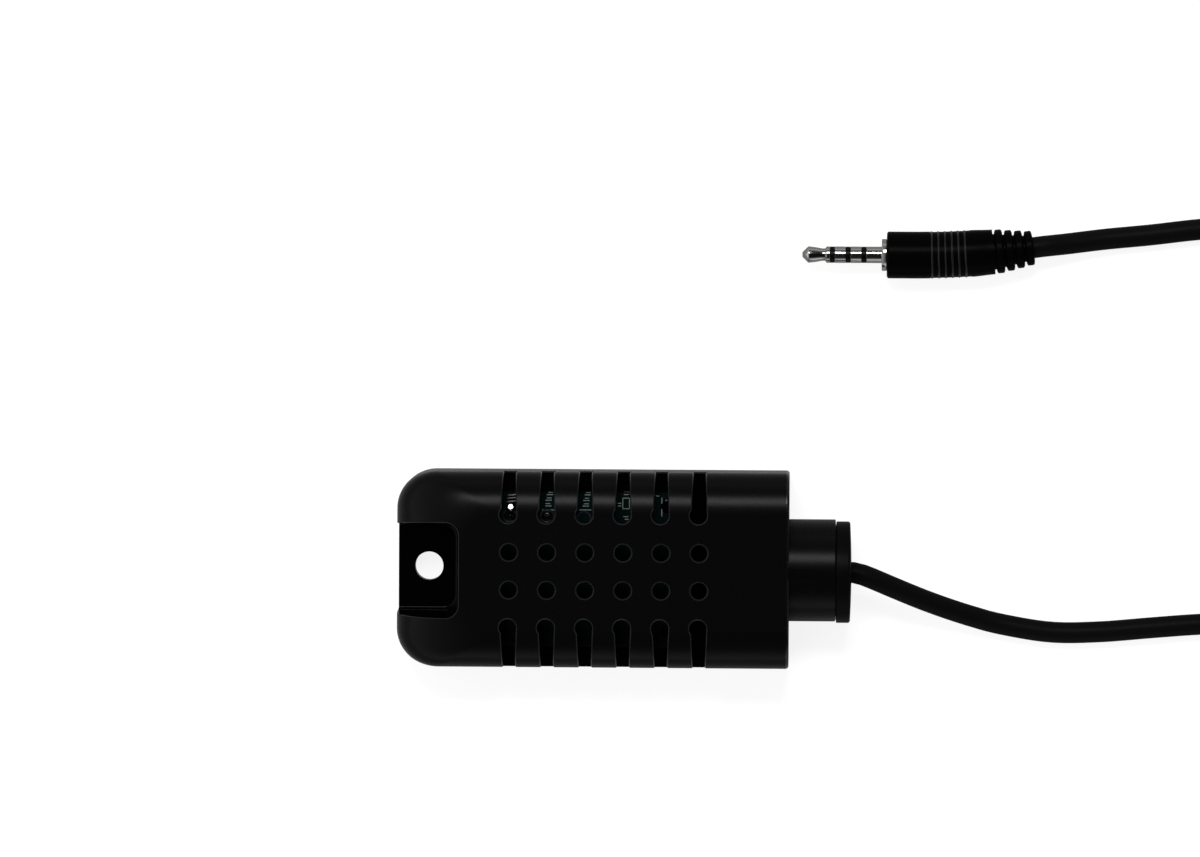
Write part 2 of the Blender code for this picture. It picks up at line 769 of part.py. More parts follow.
def make_inner_cable():
    """The sheathed cable inside the bushing and neck, and the tie that keeps it there."""
    bm = bmesh.new()
    end_x = flange_x + flange_thickness
    add_cylinder(bm, cable_diameter / 2, (inner_end_x, 0, 0), (end_x, 0, 0), cable_facets, "X")
    sheath = add_object("cable_inner_end", mesh_from(bm, "cable_inner_end"), cable_black,
                        (0, cable_axis.y, cable_axis.z))
    smooth(sheath)

    tie_x = spigot_end_x - contact_gap - inner_tie_width
    inner = cable_bore_radius
    outer = inner + inner_tie_thickness
    bm = bmesh.new()
    add_cylinder(bm, outer, (tie_x, 0, 0), (tie_x + inner_tie_width, 0, 0), cable_facets, "X")
    tie = add_object("inner_tie", mesh_from(bm, "inner_tie"), tie_white,
                     (0, cable_axis.y, cable_axis.z))
    bm = bmesh.new()
    half = inner_tie_head_width / 2
    head_top = split_height + neck_bore_radius - inner_tie_clearance
    add_box(bm, (tie_x, cable_axis.y - half, cable_axis.z + inner),
            (tie_x + inner_tie_width, cable_axis.y + half, head_top))
    boolean(tie, add_cutter("tie_head", mesh_from(bm, "tie_head")), "UNION")
    bm = bmesh.new()
    add_cylinder(bm, inner, (tie_x - wall, cable_axis.y, cable_axis.z),
                 (tie_x + inner_tie_width + wall, cable_axis.y, cable_axis.z), cable_facets, "X")
    boolean(tie, add_cutter("tie_bore", mesh_from(bm, "tie_bore")))


def plug_axis_point(distance):
    """A point on the plug's bent axis at a distance from its tip, and the axis's heading."""
    x, y = plug_place
    z = grip_diameter / 2
    if distance <= bend_start:
        return Vector((x + distance, y, z)), Vector((1, 0, 0))
    turn = (distance - bend_start) / bend_radius
    place = Vector((x + bend_start + bend_radius * sin(turn), y + bend_radius * (1 - cos(turn)), z))
    return place, Vector((cos(turn), sin(turn), 0))


def pin_spool(start, end):
    """Outline of an insulator: a thin disc with a spigot on both faces, top to bottom."""
    radius, core = pin_diameter / 2 - insulator_recess, core_diameter / 2
    high, low = end - fine_gap, start + fine_gap
    return [
        (0, end + core_reach), (core, end + core_reach), (core, high), (radius, high),
        (radius, low), (core, low), (core, start - core_reach), (0, start - core_reach),
    ]


def make_pin(axis):
    """Tip, two rings and sleeve with the insulators between them, along the plug's axis."""
    radius = pin_diameter / 2
    bore = core_diameter / 2 + fine_gap
    depth = core_reach + fine_gap
    waist = tip_waist_diameter / 2
    profile = [
        (0, tip_length - depth), (bore, tip_length - depth), (bore, tip_length),
        (radius - tip_edge, tip_length), (radius, tip_length - tip_edge),
        (radius, tip_waist_distance + tip_flare_length), (waist, tip_waist_distance),
        (waist, tip_waist_distance - tip_waist_length),
        (radius, tip_cone_length + tip_edge), (radius - tip_edge, tip_cone_length),
        (tip_face_diameter / 2, 0), (0, 0),
    ]
    turned("plug_tip", profile, pin_facets, contact_nickel, parent=axis)

    place = tip_length
    for i in range(3):
        turned(f"plug_insulator_{i + 1}", pin_spool(place, place + insulator_width), pin_facets,
               insulator_black, parent=axis)
        place += insulator_width
        if i < 2:
            end = place + contact_ring_length
            ring = [(bore, end), (radius, end), (radius, place), (bore, place)]
            turned(f"plug_ring_{i + 1}", ring, pin_facets, contact_nickel, parent=axis)
            place = end

    shoulder = place + sleeve_length
    back = shoulder + collar_thickness
    collar, shank = collar_diameter / 2, shank_diameter / 2
    profile = [
        (0, back + shank_length), (shank, back + shank_length), (shank, back), (collar, back),
        (collar, shoulder), (radius, shoulder), (radius, place), (bore, place),
        (bore, place + depth), (0, place + depth),
    ]
    turned("plug_sleeve", profile, pin_facets, contact_nickel, parent=axis)


def grip_outline():
    """Outer side of the grip from its front edge to the cable: smooth, fine rings, then relief."""
    radius = grip_diameter / 2
    edge = grip_edge_radius
    turns = [radians(90 * i / 2) for i in range(3)]
    outline = [(radius - edge + edge * sin(a), grip_start + edge - edge * cos(a)) for a in turns]
    low = radius - grip_ring_depth
    for i in range(grip_ring_count):
        place = grip_rings_start + i * grip_ring_pitch
        groove_end = place + grip_groove_width
        outline += [(radius, place), (low, place + grip_groove_slant),
                    (low, groove_end - grip_groove_slant), (radius, groove_end)]
    end_radius, last_radius = grip_end_diameter / 2, relief_end_diameter / 2
    outline += [(radius, grip_taper_start), (end_radius, relief_start)]
    place = relief_start
    for i in range(relief_ring_count):
        ring_radius = end_radius + (last_radius - end_radius) * (i + 0.5) / relief_ring_count
        notch = ring_radius - relief_notch_depth
        ring_start = place + relief_notch_width
        ring_end = ring_start + relief_ring_length
        outline += [(notch, place), (notch, ring_start),
                    (ring_radius - relief_edge, ring_start),
                    (ring_radius, ring_start + relief_edge),
                    (ring_radius, ring_end - relief_edge),
                    (ring_radius - relief_edge, ring_end)]
        place = ring_end
    return outline


def make_grip(axis):
    """The moulded grip: turned, then bent sideways with the cable it holds."""
    bore = shank_diameter / 2 + fine_gap
    bore_end = grip_start + shank_length + fine_gap
    profile = [(0, plug_length)] + list(reversed(grip_outline()))
    profile += [(bore, grip_start), (bore, bore_end), (0, bore_end)]
    pattern = turned("plug_body_pattern", profile, grip_facets, grip_black)
    evaluated = pattern.evaluated_get(bpy.context.evaluated_depsgraph_get())
    mesh = bpy.data.meshes.new_from_object(evaluated)
    mesh.name = "plug_body"
    bpy.data.objects.remove(pattern)
    for vertex in mesh.vertices:
        along = vertex.co.z - bend_start
        if along > 0:
            turn = along / bend_radius
            reach = bend_radius - vertex.co.y
            vertex.co.z = bend_start + reach * sin(turn)
            vertex.co.y = bend_radius - reach * cos(turn)
    grip = bpy.data.objects.new("plug_body", mesh)
    grip.parent = axis
    parts.objects.link(grip)
    smooth(grip, 40)


def make_plug():
    x, y = plug_place
    axis = add_empty("plug_axis", (x, y, grip_diameter / 2), (0, pi / 2, 0))
    make_pin(axis)
    make_grip(axis)


def coil_touch(angle, height):
    """Where a straight run that touches the outermost turn meets the coil's outer wall."""
    turn_radius = coil_mean_radius + coil_bundle / 2 - cable_diameter / 2
    outer = coil_mean_radius + coil_bundle / 2
    back_off = sqrt(outer ** 2 - (turn_radius - cable_diameter / 2) ** 2) + contact_gap
    a = radians(angle)
    touch = Vector((coil_centre[0] + turn_radius * cos(a), coil_centre[1] + turn_radius * sin(a), height))
    return touch, back_off


def make_cable():
    """The cable's two free stretches: from the bushing to the coil, and from the coil to the plug."""
    rest = cable_diameter / 2
    spacing = 2.4 * cable_diameter
    exit_x = flange_x + flange_thickness + contact_gap
    first = Vector((exit_x, cable_axis.y, cable_axis.z))
    touch, back_off = coil_touch(lead_joins_at, rest)
    lead = [
        first, first + Vector((1.2 * mm, -0.1 * mm, 0)), (41.7 * mm, -2.95 * mm, 6.3 * mm),
        (49.3 * mm, -5.9 * mm, 3.3 * mm), (56.9 * mm, -8.3 * mm, 1.75 * mm),
        (64.5 * mm, -9.5 * mm, rest), (72.0 * mm, -9.4 * mm, rest), (79.6 * mm, -8.75 * mm, rest),
        (87.2 * mm, -8.15 * mm, rest), (94.5 * mm, -7.95 * mm, rest),
        touch - Vector((back_off, 0, 0)),
    ]
    points = smooth_route(lead, spacing)
    points.insert(1, first + Vector((1.2 * mm, 0, 0)))
    tube("cable_lead", points, rest, cable_black)

    end, heading = plug_axis_point(plug_length)
    first = end + heading * contact_gap
    touch, back_off = coil_touch(tail_leaves_at, rest + cable_diameter)
    leaving = Vector((-sin(radians(tail_leaves_at)), cos(radians(tail_leaves_at)), 0))
    tail = [
        first, first + heading * 1.2 * mm, (66.5 * mm, 49.35 * mm, 2.7 * mm),
        (72.5 * mm, 50.1 * mm, 1.7 * mm), (79.1 * mm, 50.75 * mm, rest),
        (86.7 * mm, 51.65 * mm, rest), (94.0 * mm, 52.1 * mm, rest),
        (101.5 * mm, 51.0 * mm, 1.8 * mm), (108.5 * mm, 47.9 * mm, 2.8 * mm),
        touch + leaving * back_off,
    ]
    points = smooth_route(tail, spacing)
    points.insert(1, first + heading * 1.2 * mm)
    tube("cable_tail", points, rest, cable_black)


def square_frame(name, outer, inner, width):
    """A square frame about the coil's bundle, flat across its radius, as a mesh with a hole."""
    bm = bmesh.new()
    corners = ((-1, -1), (1, -1), (1, 1), (-1, 1))
    loops = []
    for size, y in ((outer, -width / 2), (outer, width / 2), (inner, width / 2), (inner, -width / 2)):
        loops.append([bm.verts.new((size / 2 * u, y, size / 2 * v)) for u, v in corners])
    for one, two in zip(loops, loops[1:] + loops[:1]):
        for i in range(4):
            j = (i + 1) % 4
            bm.faces.new((one[i], one[j], two[j], two[i]))
    return mesh_from(bm, name)


def make_coil():
    """The stored cable as one turned ring, waisted under its strap."""
    half = coil_bundle / 2
    edge = cable_diameter / 2
    inner, outer = coil_mean_radius - half, coil_mean_radius + half
    corners = (
        ((outer - edge, half - edge), 90), ((outer - edge, -half + edge), 0),
        ((inner + edge, -half + edge), -90), ((inner + edge, half - edge), -180),
    )
    profile = []
    for (r, z), start in corners:
        profile += arc((r, z), edge, start, start - 90, 3)
    ring = turned("cable_coil", profile, ring_facets, cable_black, (*coil_centre, half))

    grip = strap_thickness + contact_gap
    place = (coil_centre[0] + coil_mean_radius, coil_centre[1], half)
    waist = square_frame("strap_seat", coil_bundle + 4 * grip, coil_bundle - 2 * grip,
                         strap_width + 2 * contact_gap)
    boolean(ring, add_cutter("strap_seat", waist, place))

    band = square_frame("coil_strap", coil_bundle, coil_bundle - 2 * strap_thickness, strap_width)
    strap = add_object("coil_strap", band, strap_black, place)
    bevel(strap, strap_edge, 2, 60)


recess_cut, lining_cut, bore_cut = shell_cutters()
make_front_shell(recess_cut, lining_cut, bore_cut)
make_back_shell(recess_cut, lining_cut, bore_cut)
make_bushing()
make_board()
make_board_parts()
make_wires()
make_inner_cable()
make_plug()
make_cable()
make_coil()
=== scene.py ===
from math import asin, cos, pi, radians, sin, tan

import bmesh
import bpy
import numpy as np
from mathutils import Matrix, Vector


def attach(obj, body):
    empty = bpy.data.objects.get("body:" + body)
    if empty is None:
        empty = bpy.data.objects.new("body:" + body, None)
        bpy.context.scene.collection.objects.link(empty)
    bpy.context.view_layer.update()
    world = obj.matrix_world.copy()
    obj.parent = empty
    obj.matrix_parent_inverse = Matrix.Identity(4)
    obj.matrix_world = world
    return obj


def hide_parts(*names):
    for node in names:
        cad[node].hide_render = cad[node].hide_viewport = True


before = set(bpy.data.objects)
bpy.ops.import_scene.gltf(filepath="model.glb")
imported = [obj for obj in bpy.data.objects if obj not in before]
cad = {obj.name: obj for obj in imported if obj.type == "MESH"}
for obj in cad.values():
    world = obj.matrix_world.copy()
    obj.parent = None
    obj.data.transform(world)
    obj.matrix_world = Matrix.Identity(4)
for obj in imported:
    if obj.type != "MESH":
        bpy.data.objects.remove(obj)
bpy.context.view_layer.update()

mm = 0.001
up = np.array([0.0, 0.0, 1.0])

# Camera: above the probe, a little towards the plug's side
camera = dict(
    place=(26.6, 64.6, 1110.0),      # mm
    target=(-3.743, 21.198, 7.75),
    roll=0.298,                      # degrees
    focal=7316.4,                    # in pixels of the 1200 pixel wide image
    imageWidth=1200,
    sensor=36.0,
)


def addCamera(look):
    # it faces the target with Y upwards in the picture, and is then rolled about its axis
    place, target = Vector(look["place"]) * mm, Vector(look["target"]) * mm
    forward = (target - place).normalized()
    right = forward.cross(Vector((0, 1, 0))).normalized()
    above = right.cross(forward)
    roll = radians(look["roll"])
    side = right * cos(roll) + above * sin(roll)
    top = above * cos(roll) - right * sin(roll)
    data = bpy.data.cameras.new("camera")
    data.sensor_width = look["sensor"]
    data.lens = look["focal"] / look["imageWidth"] * look["sensor"]
    data.clip_start, data.clip_end = 0.01, 10
    eye = bpy.data.objects.new("camera", data)
    bpy.context.scene.collection.objects.link(eye)
    turn = Matrix((side, top, -forward)).transposed().to_4x4()
    eye.matrix_world = Matrix.Translation(place) @ turn
    bpy.context.scene.camera = eye


addCamera(camera)
print("camera placed")


def linear(hexColor):
    # sRGB hex to the linear colour that a shader takes
    values = np.array([int(hexColor[i:i + 2], 16) for i in (1, 3, 5)]) / 255
    flat = np.where(values <= 0.04045, values / 12.92, ((values + 0.055) / 1.055) ** 2.4)
    return (*flat.tolist(), 1.0)


def addNode(tree, kind, settings=(), inputs=()):
    # a node with its own settings; an input is given a value or joined to another node's output
    node = tree.nodes.new(kind)
    for name, value in dict(settings).items():
        setattr(node, name, value)
    for name, value in dict(inputs).items():
        if isinstance(value, bpy.types.NodeSocket):
            tree.links.new(value, node.inputs[name])
        else:
            node.inputs[name].default_value = value
    return node


def newMaterial(name, color, roughness, **sockets):
    # a material whose shader has these values; patterns are added to it afterwards
    material = bpy.data.materials.new(name)
    material.use_nodes = True
    shader = material.node_tree.nodes["Principled BSDF"]
    shader.inputs["Base Color"].default_value = linear(color)
    shader.inputs["Roughness"].default_value = roughness
    for socket, value in sockets.items():
        shader.inputs[socket.replace("_", " ")].default_value = value
    return material


def addGrain(material, size, depth, wear=0.0):
    # moulded or ground grain: noise of this size and depth in mm as a bump, and as
    # a swing of the roughness by the share in wear
    tree = material.node_tree
    shader = tree.nodes["Principled BSDF"]
    place = addNode(tree, "ShaderNodeTexCoord")
    noise = addNode(tree, "ShaderNodeTexNoise", inputs={
        "Vector": place.outputs["Object"], "Scale": 1 / (2 * size * mm), "Detail": 3.0,
        "Roughness": 0.6})
    bump = addNode(tree, "ShaderNodeBump", inputs={
        "Distance": depth * mm, "Height": noise.outputs["Fac"]})
    tree.links.new(bump.outputs["Normal"], shader.inputs["Normal"])
    if wear:
        base = shader.inputs["Roughness"].default_value
        swing = addNode(tree, "ShaderNodeMapRange", inputs={
            "Value": noise.outputs["Fac"], "From Min": 0.3, "From Max": 0.7,
            "To Min": base * (1 - wear), "To Max": base * (1 + wear)})
        tree.links.new(swing.outputs["Result"], shader.inputs["Roughness"])
    return material


def smoothRoute(points, spacing):
    # Catmull-Rom curve through the points, cut into steps of equal length
    knots = np.array([tuple(point) for point in points], float)
    ends = np.vstack([2 * knots[0] - knots[1], knots, 2 * knots[-1] - knots[-2]])
    t = np.linspace(0, 1, 24, endpoint=False)[None, :, None]
    a, b, c, d = (ends[i:len(ends) - 3 + i, None, :] for i in range(4))
    dense = 0.5 * (2 * b + (c - a) * t + (2 * a - 5 * b + 4 * c - d) * t ** 2
                   + (3 * b - a - 3 * c + d) * t ** 3)
    dense = np.vstack([dense.reshape(-1, 3), knots[-1:]])
    return evenSteps(dense, spacing)


def evenSteps(path, spacing):
    # the same path with its points a fixed length apart
    along = pathLength(path)
    steps = np.linspace(0, along[-1], max(3, int(round(along[-1] / spacing)) + 1))
    return np.stack([np.interp(steps, along, path[:, k]) for k in range(3)], axis=1)


def pathLength(path):
    # how far along the path each point lies
    return np.concatenate([[0], np.cumsum(np.linalg.norm(np.diff(path, axis=0), axis=1))])


def smoothStep(t):
    # from 0 to 1 with level ends: three times the square less twice the cube
    t = np.clip(t, 0, 1)
    return t * t * (3 - 2 * t)


def unit(vectors):
    # the same directions with length one
    return vectors / np.linalg.norm(vectors, axis=-1, keepdims=True)


def arc(centre, radius, start, end, steps):
    # points on an arc in a plane, angles in degrees
    a = np.radians(np.linspace(start, end, steps + 1))
    return np.stack([centre[0] + radius * np.cos(a), centre[1] + radius * np.sin(a)], axis=-1)


def gridMesh(name, grid, looped=False):
    # quads over a grid of points (rows, columns, 3) whose columns close into a ring; the
    # rows end in a flat cap each, or the last one joins the first
    index = np.arange(grid.shape[0] * grid.shape[1]).reshape(grid.shape[:2])
    lower = index if looped else index[:-1]
    upper = np.roll(index, -1, axis=0) if looped else index[1:]
    quads = np.stack([lower, np.roll(lower, -1, axis=1), np.roll(upper, -1, axis=1), upper],
                     axis=-1)
    faces = quads.reshape(-1, 4).tolist()
    if not looped:
        faces += [index[0, ::-1].tolist(), index[-1].tolist()]
    mesh = bpy.data.meshes.new(name)
    mesh.from_pydata(grid.reshape(-1, 3).tolist(), [], faces)
    mesh.update()
    return mesh


def solid(name, *grids, looped=False):
    # one mesh from grids in mm, each closed in itself, with all faces turned outwards
    bm = bmesh.new()
    for grid in grids:
        part = gridMesh(name, np.asarray(grid) * mm, looped)
        bm.from_mesh(part)
        bpy.data.meshes.remove(part)
    bmesh.ops.recalc_face_normals(bm, faces=bm.faces[:])
    mesh = bpy.data.meshes.new(name)
    bm.to_mesh(mesh)
    bm.free()
    return mesh


def worked(name, mesh, steps, materials=()):
    # the mesh after its Boolean steps, each (operation, other solid); the helpers go again,
    # and the faces they leave keep their number in the list of materials
    for material in materials:
        mesh.materials.append(material)
    group = bpy.context.scene.collection
    block = bpy.data.objects.new(name, mesh)
    group.objects.link(block)
    helpers = []
    for operation, other in steps:
        helper = bpy.data.objects.new("helper", other)
        group.objects.link(helper)
        helper.hide_render = True
        helpers.append(helper)
        modifier = block.modifiers.new(operation.lower(), "BOOLEAN")
        modifier.operation, modifier.solver, modifier.object = operation, "EXACT", helper
    ready = block.evaluated_get(bpy.context.evaluated_depsgraph_get())
    result = bpy.data.meshes.new_from_object(ready)
    result.name = name
    for thing in [block, *helpers]:
        data = thing.data
        bpy.data.objects.remove(thing)
        bpy.data.meshes.remove(data)
    return result


def finished(mesh, numbers):
    # the faces' places in the piece's list of materials: one number for all, or one each
    each = np.broadcast_to(numbers, len(mesh.polygons)).astype(np.int32)
    mesh.polygons.foreach_set("material_index", each)
    return mesh


def addPiece(name, mesh, material=None, sharp=35, slot=None, instead=()):
    # an object at the origin whose place is in its mesh, in place of these CAD nodes; a mesh
    # that comes with its own materials keeps them
    piece = bpy.data.objects.new(name, mesh)
    bpy.context.scene.collection.objects.link(piece)
    mesh.shade_smooth()
    mesh.set_sharp_from_angle(angle=radians(sharp))
    if material:
        mesh.materials.clear()
        mesh.materials.append(material)
    if slot:
        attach(piece, "root")
    if instead:
        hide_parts(*instead)
    return piece


def sweepGrid(path, sections):
    # rings about a path that never stands upright: each section is (across, above) in the
    # plane that the path crosses, and all sections have the same number of points
    heading = unit(np.gradient(path, axis=0))
    across = unit(np.cross(up, heading))
    above = np.cross(heading, across)
    return (path[:, None, :] + sections[..., 0:1] * across[:, None, :]
            + sections[..., 1:2] * above[:, None, :])


def roundSections(radii, columns):
    # circles of the given radii, anticlockwise seen from ahead
    turn = np.linspace(0, 2 * pi, columns, endpoint=False)
    ring = np.stack([np.cos(turn), np.sin(turn)], axis=-1)
    return np.asarray(radii, float)[:, None, None] * ring[None]


def turnedGrid(profile, place, columns):
    # a profile of (distance along X, radius) turned about a line along X through the place
    profile = np.asarray(profile, float)
    path = np.zeros((len(profile), 3)) + np.array(place)
    path[:, 0] += profile[:, 0]
    ring = roundSections(profile[:, 1], columns)
    grid = np.repeat(path[:, None, :], columns, axis=1)
    grid[..., 1:] += ring
    return grid


# Materials of the case, the cable and the plug
caseAbs = addGrain(newMaterial(       # spark-eroded ABS: satin, with soft narrow highlights
    "moulded black ABS", "#050505", 0.28, Specular_IOR_Level=0.042, IOR=1.52),
    size=0.16, depth=0.003, wear=0.08)
rimAbs = addGrain(newMaterial(        # the same ABS along the rims: shinier, so they catch light
    "moulded black ABS rims", "#050505", 0.28, Specular_IOR_Level=0.19, IOR=1.52),
    size=0.16, depth=0.001, wear=0.08)
smoothAbs = addGrain(newMaterial(     # the same ABS off polished steel: near black, clear gloss
    "smooth black ABS", "#010101", 0.12, Specular_IOR_Level=0.04, IOR=1.52),
    size=0.3, depth=0.001, wear=0.08)
caseFinishes = [caseAbs, rimAbs, smoothAbs]
rimFace, innerFace = 1, 2             # places in that list; the outer faces have 0
bushingRubber = addGrain(newMaterial(  # moulded rubber: duller than the case
    "moulded black rubber", "#060606", 0.38, Specular_IOR_Level=0.02, IOR=1.5),
    size=0.2, depth=0.004, wear=0.1)
cablePvc = addGrain(newMaterial(      # extruded PVC sheath: soft, a broad low highlight
    "extruded black PVC", "#0a0a0a", 0.44, Specular_IOR_Level=0.02, IOR=1.53),
    size=0.3, depth=0.004, wear=0.1)
gripPvc = addGrain(newMaterial(       # overmoulded PVC: close to the cable's, a little tighter
    "overmoulded black PVC", "#030303", 0.3, Specular_IOR_Level=0.008, IOR=1.53),
    size=0.25, depth=0.004, wear=0.1)
nickelPlate = addGrain(newMaterial(   # bright nickel: mirror-like with faint turning marks
    "bright nickel plate", "#93918f", 0.13, Metallic=1.0),
    size=0.1, depth=0.0008, wear=0.2)
ridgePvc = addGrain(newMaterial(      # the same PVC on the fine rings: rubbed to a soft shine
    "rubbed black PVC", "#040404", 0.3, Specular_IOR_Level=0.16, IOR=1.53),
    size=0.12, depth=0.002)
insulatorNylon = addGrain(newMaterial(  # moulded nylon between the contacts
    "moulded black nylon", "#040404", 0.35, IOR=1.53, Specular_IOR_Level=0.05),
    size=0.12, depth=0.004)
tieNylon = addGrain(newMaterial(      # natural nylon: milky, a little light goes through
    "natural nylon", "#ddddd2", 0.42, IOR=1.53, Subsurface_Weight=0.1, Subsurface_Scale=0.4 * mm),
    size=0.3, depth=0.005)
maskedBoard = addGrain(newMaterial(   # dark green solder mask over glass cloth and copper
    "dark green solder mask", "#021212", 0.25, IOR=1.5, Specular_IOR_Level=0.1),
    size=0.25, depth=0.004, wear=0.1)
shadedLegendInk = addGrain(newMaterial(     # screen-printed legend, flat and slightly uneven; its grey-green in place of white ink is painted shade for the dim slots
    "legend ink", "#7c8a82", 0.6, IOR=1.5), size=0.08, depth=0.004)
brightSolder = addGrain(newMaterial(  # tin solder: bright, softly dimpled as it froze
    "tin solder", "#bcbdc0", 0.16, Metallic=1.0), size=0.3, depth=0.006, wear=0.2)
tinnedCopper = addGrain(newMaterial(  # tinned strands: soft silver lines
    "tinned copper", "#5f6164", 0.4, Metallic=1.0), size=0.3, depth=0.002, wear=0.2)
dullSolder = addGrain(newMaterial(    # the same tin under a film of flux: grey and soft
    "fluxed tin solder", "#35373a", 0.36, Metallic=1.0), size=0.3, depth=0.004, wear=0.2)
chipEpoxy = addGrain(newMaterial(     # moulded epoxy: fine and matte
    "moulded epoxy", "#1d1d1e", 0.5, IOR=1.55), size=0.06, depth=0.004)
capacitorCeramic = addGrain(newMaterial(  # fired ceramic: tan, slightly mottled
    "fired tan ceramic", "#9f865f", 0.5, IOR=1.6), size=0.1, depth=0.003, wear=0.1)
resistorGlaze = addGrain(newMaterial(  # glazed resistor body
    "black glaze", "#232323", 0.25, IOR=1.52), size=0.2, depth=0.003)
wireColors = {name: addGrain(newMaterial(  # extruded PVC of the conductors
    f"extruded {name} PVC", color, 0.42, IOR=1.53), size=0.2, depth=0.004)
    for name, color in (("red", "#b21f1c"), ("white", "#d8d8d4"), ("yellow", "#cba52c"),
                        ("black", "#121212"))}
print("materials made")

cable = dict(
    diameter=3.2,                     # mm, as all its sizes here
    length=2000.0,
    exit=(34.3, -0.25, 7.75),
    lead=((36.0, -0.62, 7.72), (38.6, -1.7, 7.25), (41.7, -3.05, 6.2), (45.4, -4.6, 4.75),
          (49.3, -6.05, 3.4), (53.0, -7.25, 2.35), (56.9, -8.3, 1.72), (64.5, -9.5, 1.6),
          (72.0, -9.4, 1.6), (79.6, -8.75, 1.6), (87.2, -8.15, 1.6), (94.5, -7.95, 1.6),
          (104.0, -7.9, 1.6)),
    coilCentre=(115.7, 16.1),
    coilRadius=19.2,                  # to the middle of the bundle
    joinAngle=-90,                    # the lead runs into the coil here
    leaveAngle=60,                    # and the tail leaves it here
    tail=((108.5, 47.9, 2.8), (101.5, 51.0, 1.8), (94.0, 52.1, 1.6), (86.7, 51.65, 1.6),
          (79.1, 50.75, 1.6), (72.5, 50.1, 1.75), (66.5, 49.35, 2.7)),
    plugEnd=(61.46, 48.77, 3.54),
    plugHeading=(0.9913, 0.1318, 0),
    # turn by turn: column counted outwards and row counted upwards, both ends outermost
    cells=((3, 0), (2, 0), (1, 0), (0, 0), (0, 1), (0, 2), (0, 3), (1, 3),
           (1, 2), (1, 1), (2, 1), (2, 2), (2, 3), (3, 3), (3, 2), (3, 1)),
    changeAngle=150,                  # each turn moves over to the next cell about here
    changeSpread=50,                  # over this many degrees
    strapLift=0.85,                   # the turns ride over the strap at angle 0
    strapRamp=(11, 22),               # level this far from it, then down over so many degrees
    wander=((0.07, 2.3, 0), (0.05, 5.1, 40)),  # uneven turns: mm, waves in a turn, degrees
    wanderEase=60,                    # none at the coil's two ends, all of it after this
    angleStep=5.0, routeStep=1.6, step=1.5,
    neckReach=1.2, gripReach=1.5,     # it goes on inside the neck and inside the grip
    straight=2.0,                     # and runs straight into the grip over this
    sheath=(18.4, 33.4),              # the sheath inside the neck, from X to X
)


def coilPath(c):
    # angle runs on turn after turn; radius and height follow the cells of the bundle, with
    # slow waves in the radius and a rise where the turns ride over the strap
    cells = np.array(c["cells"], float)
    last = len(cells) - 1
    theta = np.arange(c["joinAngle"], c["leaveAngle"] + 360 * last + 1e-6, c["angleStep"])
    u = (theta - c["changeAngle"]) / 360
    before = np.floor(u + 0.5)
    share = smoothStep(((u - before) * 360 + c["changeSpread"] / 2) / c["changeSpread"])
    one, two = (cells[np.clip(turn, 0, last).astype(int)] for turn in (before, before + 1))
    cell = one + (two - one) * share[:, None]
    away = np.abs((theta + 180) % 360 - 180)
    level, ramp = c["strapRamp"]
    lift = c["strapLift"] * (1 - smoothStep((away - level) / ramp))
    wander = sum(size * np.sin(np.radians(theta * waves + phase))
                 for size, waves, phase in c["wander"])
    ease = c["wanderEase"]
    ends = sum(smoothStep((ease - gone) / ease) for gone in (theta - theta[0], theta[-1] - theta))
    column, row = (cell - (cells[:, 0].max() / 2, -0.5)).T
    radius = c["coilRadius"] + column * c["diameter"] + wander * np.clip(1 - ends, 0, 1)
    a = np.radians(theta)
    x, y = c["coilCentre"]
    return np.stack([x + radius * np.cos(a), y + radius * np.sin(a),
                     row * c["diameter"] + lift], axis=1)


def cablePath(c):
    # a smooth curve from inside the neck to the coil, the coil, and one on into the grip
    coil = coilPath(c)
    out, plugEnd, heading = (np.array(c[part]) for part in ("exit", "plugEnd", "plugHeading"))
    lead = smoothRoute([out - (c["neckReach"], 0, 0), out, *c["lead"], coil[0], coil[1]],
                       c["routeStep"])[:-1]
    tail = smoothRoute([coil[-2], coil[-1], *c["tail"], plugEnd + c["straight"] * heading,
                        plugEnd, plugEnd - c["gripReach"] * heading], c["routeStep"])[1:]
    lead = lead[lead[:, 0] < coil[0, 0] - c["routeStep"] / 2]
    return evenSteps(np.vstack([lead, coil, tail[1:]]), c["step"])


def addSheathEnd(c):
    # the sheath inside the bushing and the neck, up to where the free cable starts
    (far, near), radius, edge = c["sheath"], c["diameter"] / 2, 0.15
    profile = [(far, radius - edge), (far + edge, radius), (near, radius)]
    mesh = solid("sheathEnd", turnedGrid(profile, (0, *c["exit"][1:]), 32))
    addPiece("sheathEnd", mesh, cablePvc, slot="cable", instead=["cable_inner_end"])


route = cablePath(cable)
cableSurface = gridMesh("cable", sweepGrid(route, roundSections(
    np.full(len(route), cable["diameter"] / 2), 24)) * mm)
cord = addPiece("cable", cableSurface, cablePvc, 60, "cable",
                ["cable_lead", "cable_coil", "cable_tail"])
addSheathEnd(cable)
print("cable laid:", round(pathLength(route)[-1], 1), "mm in", len(route), "points")

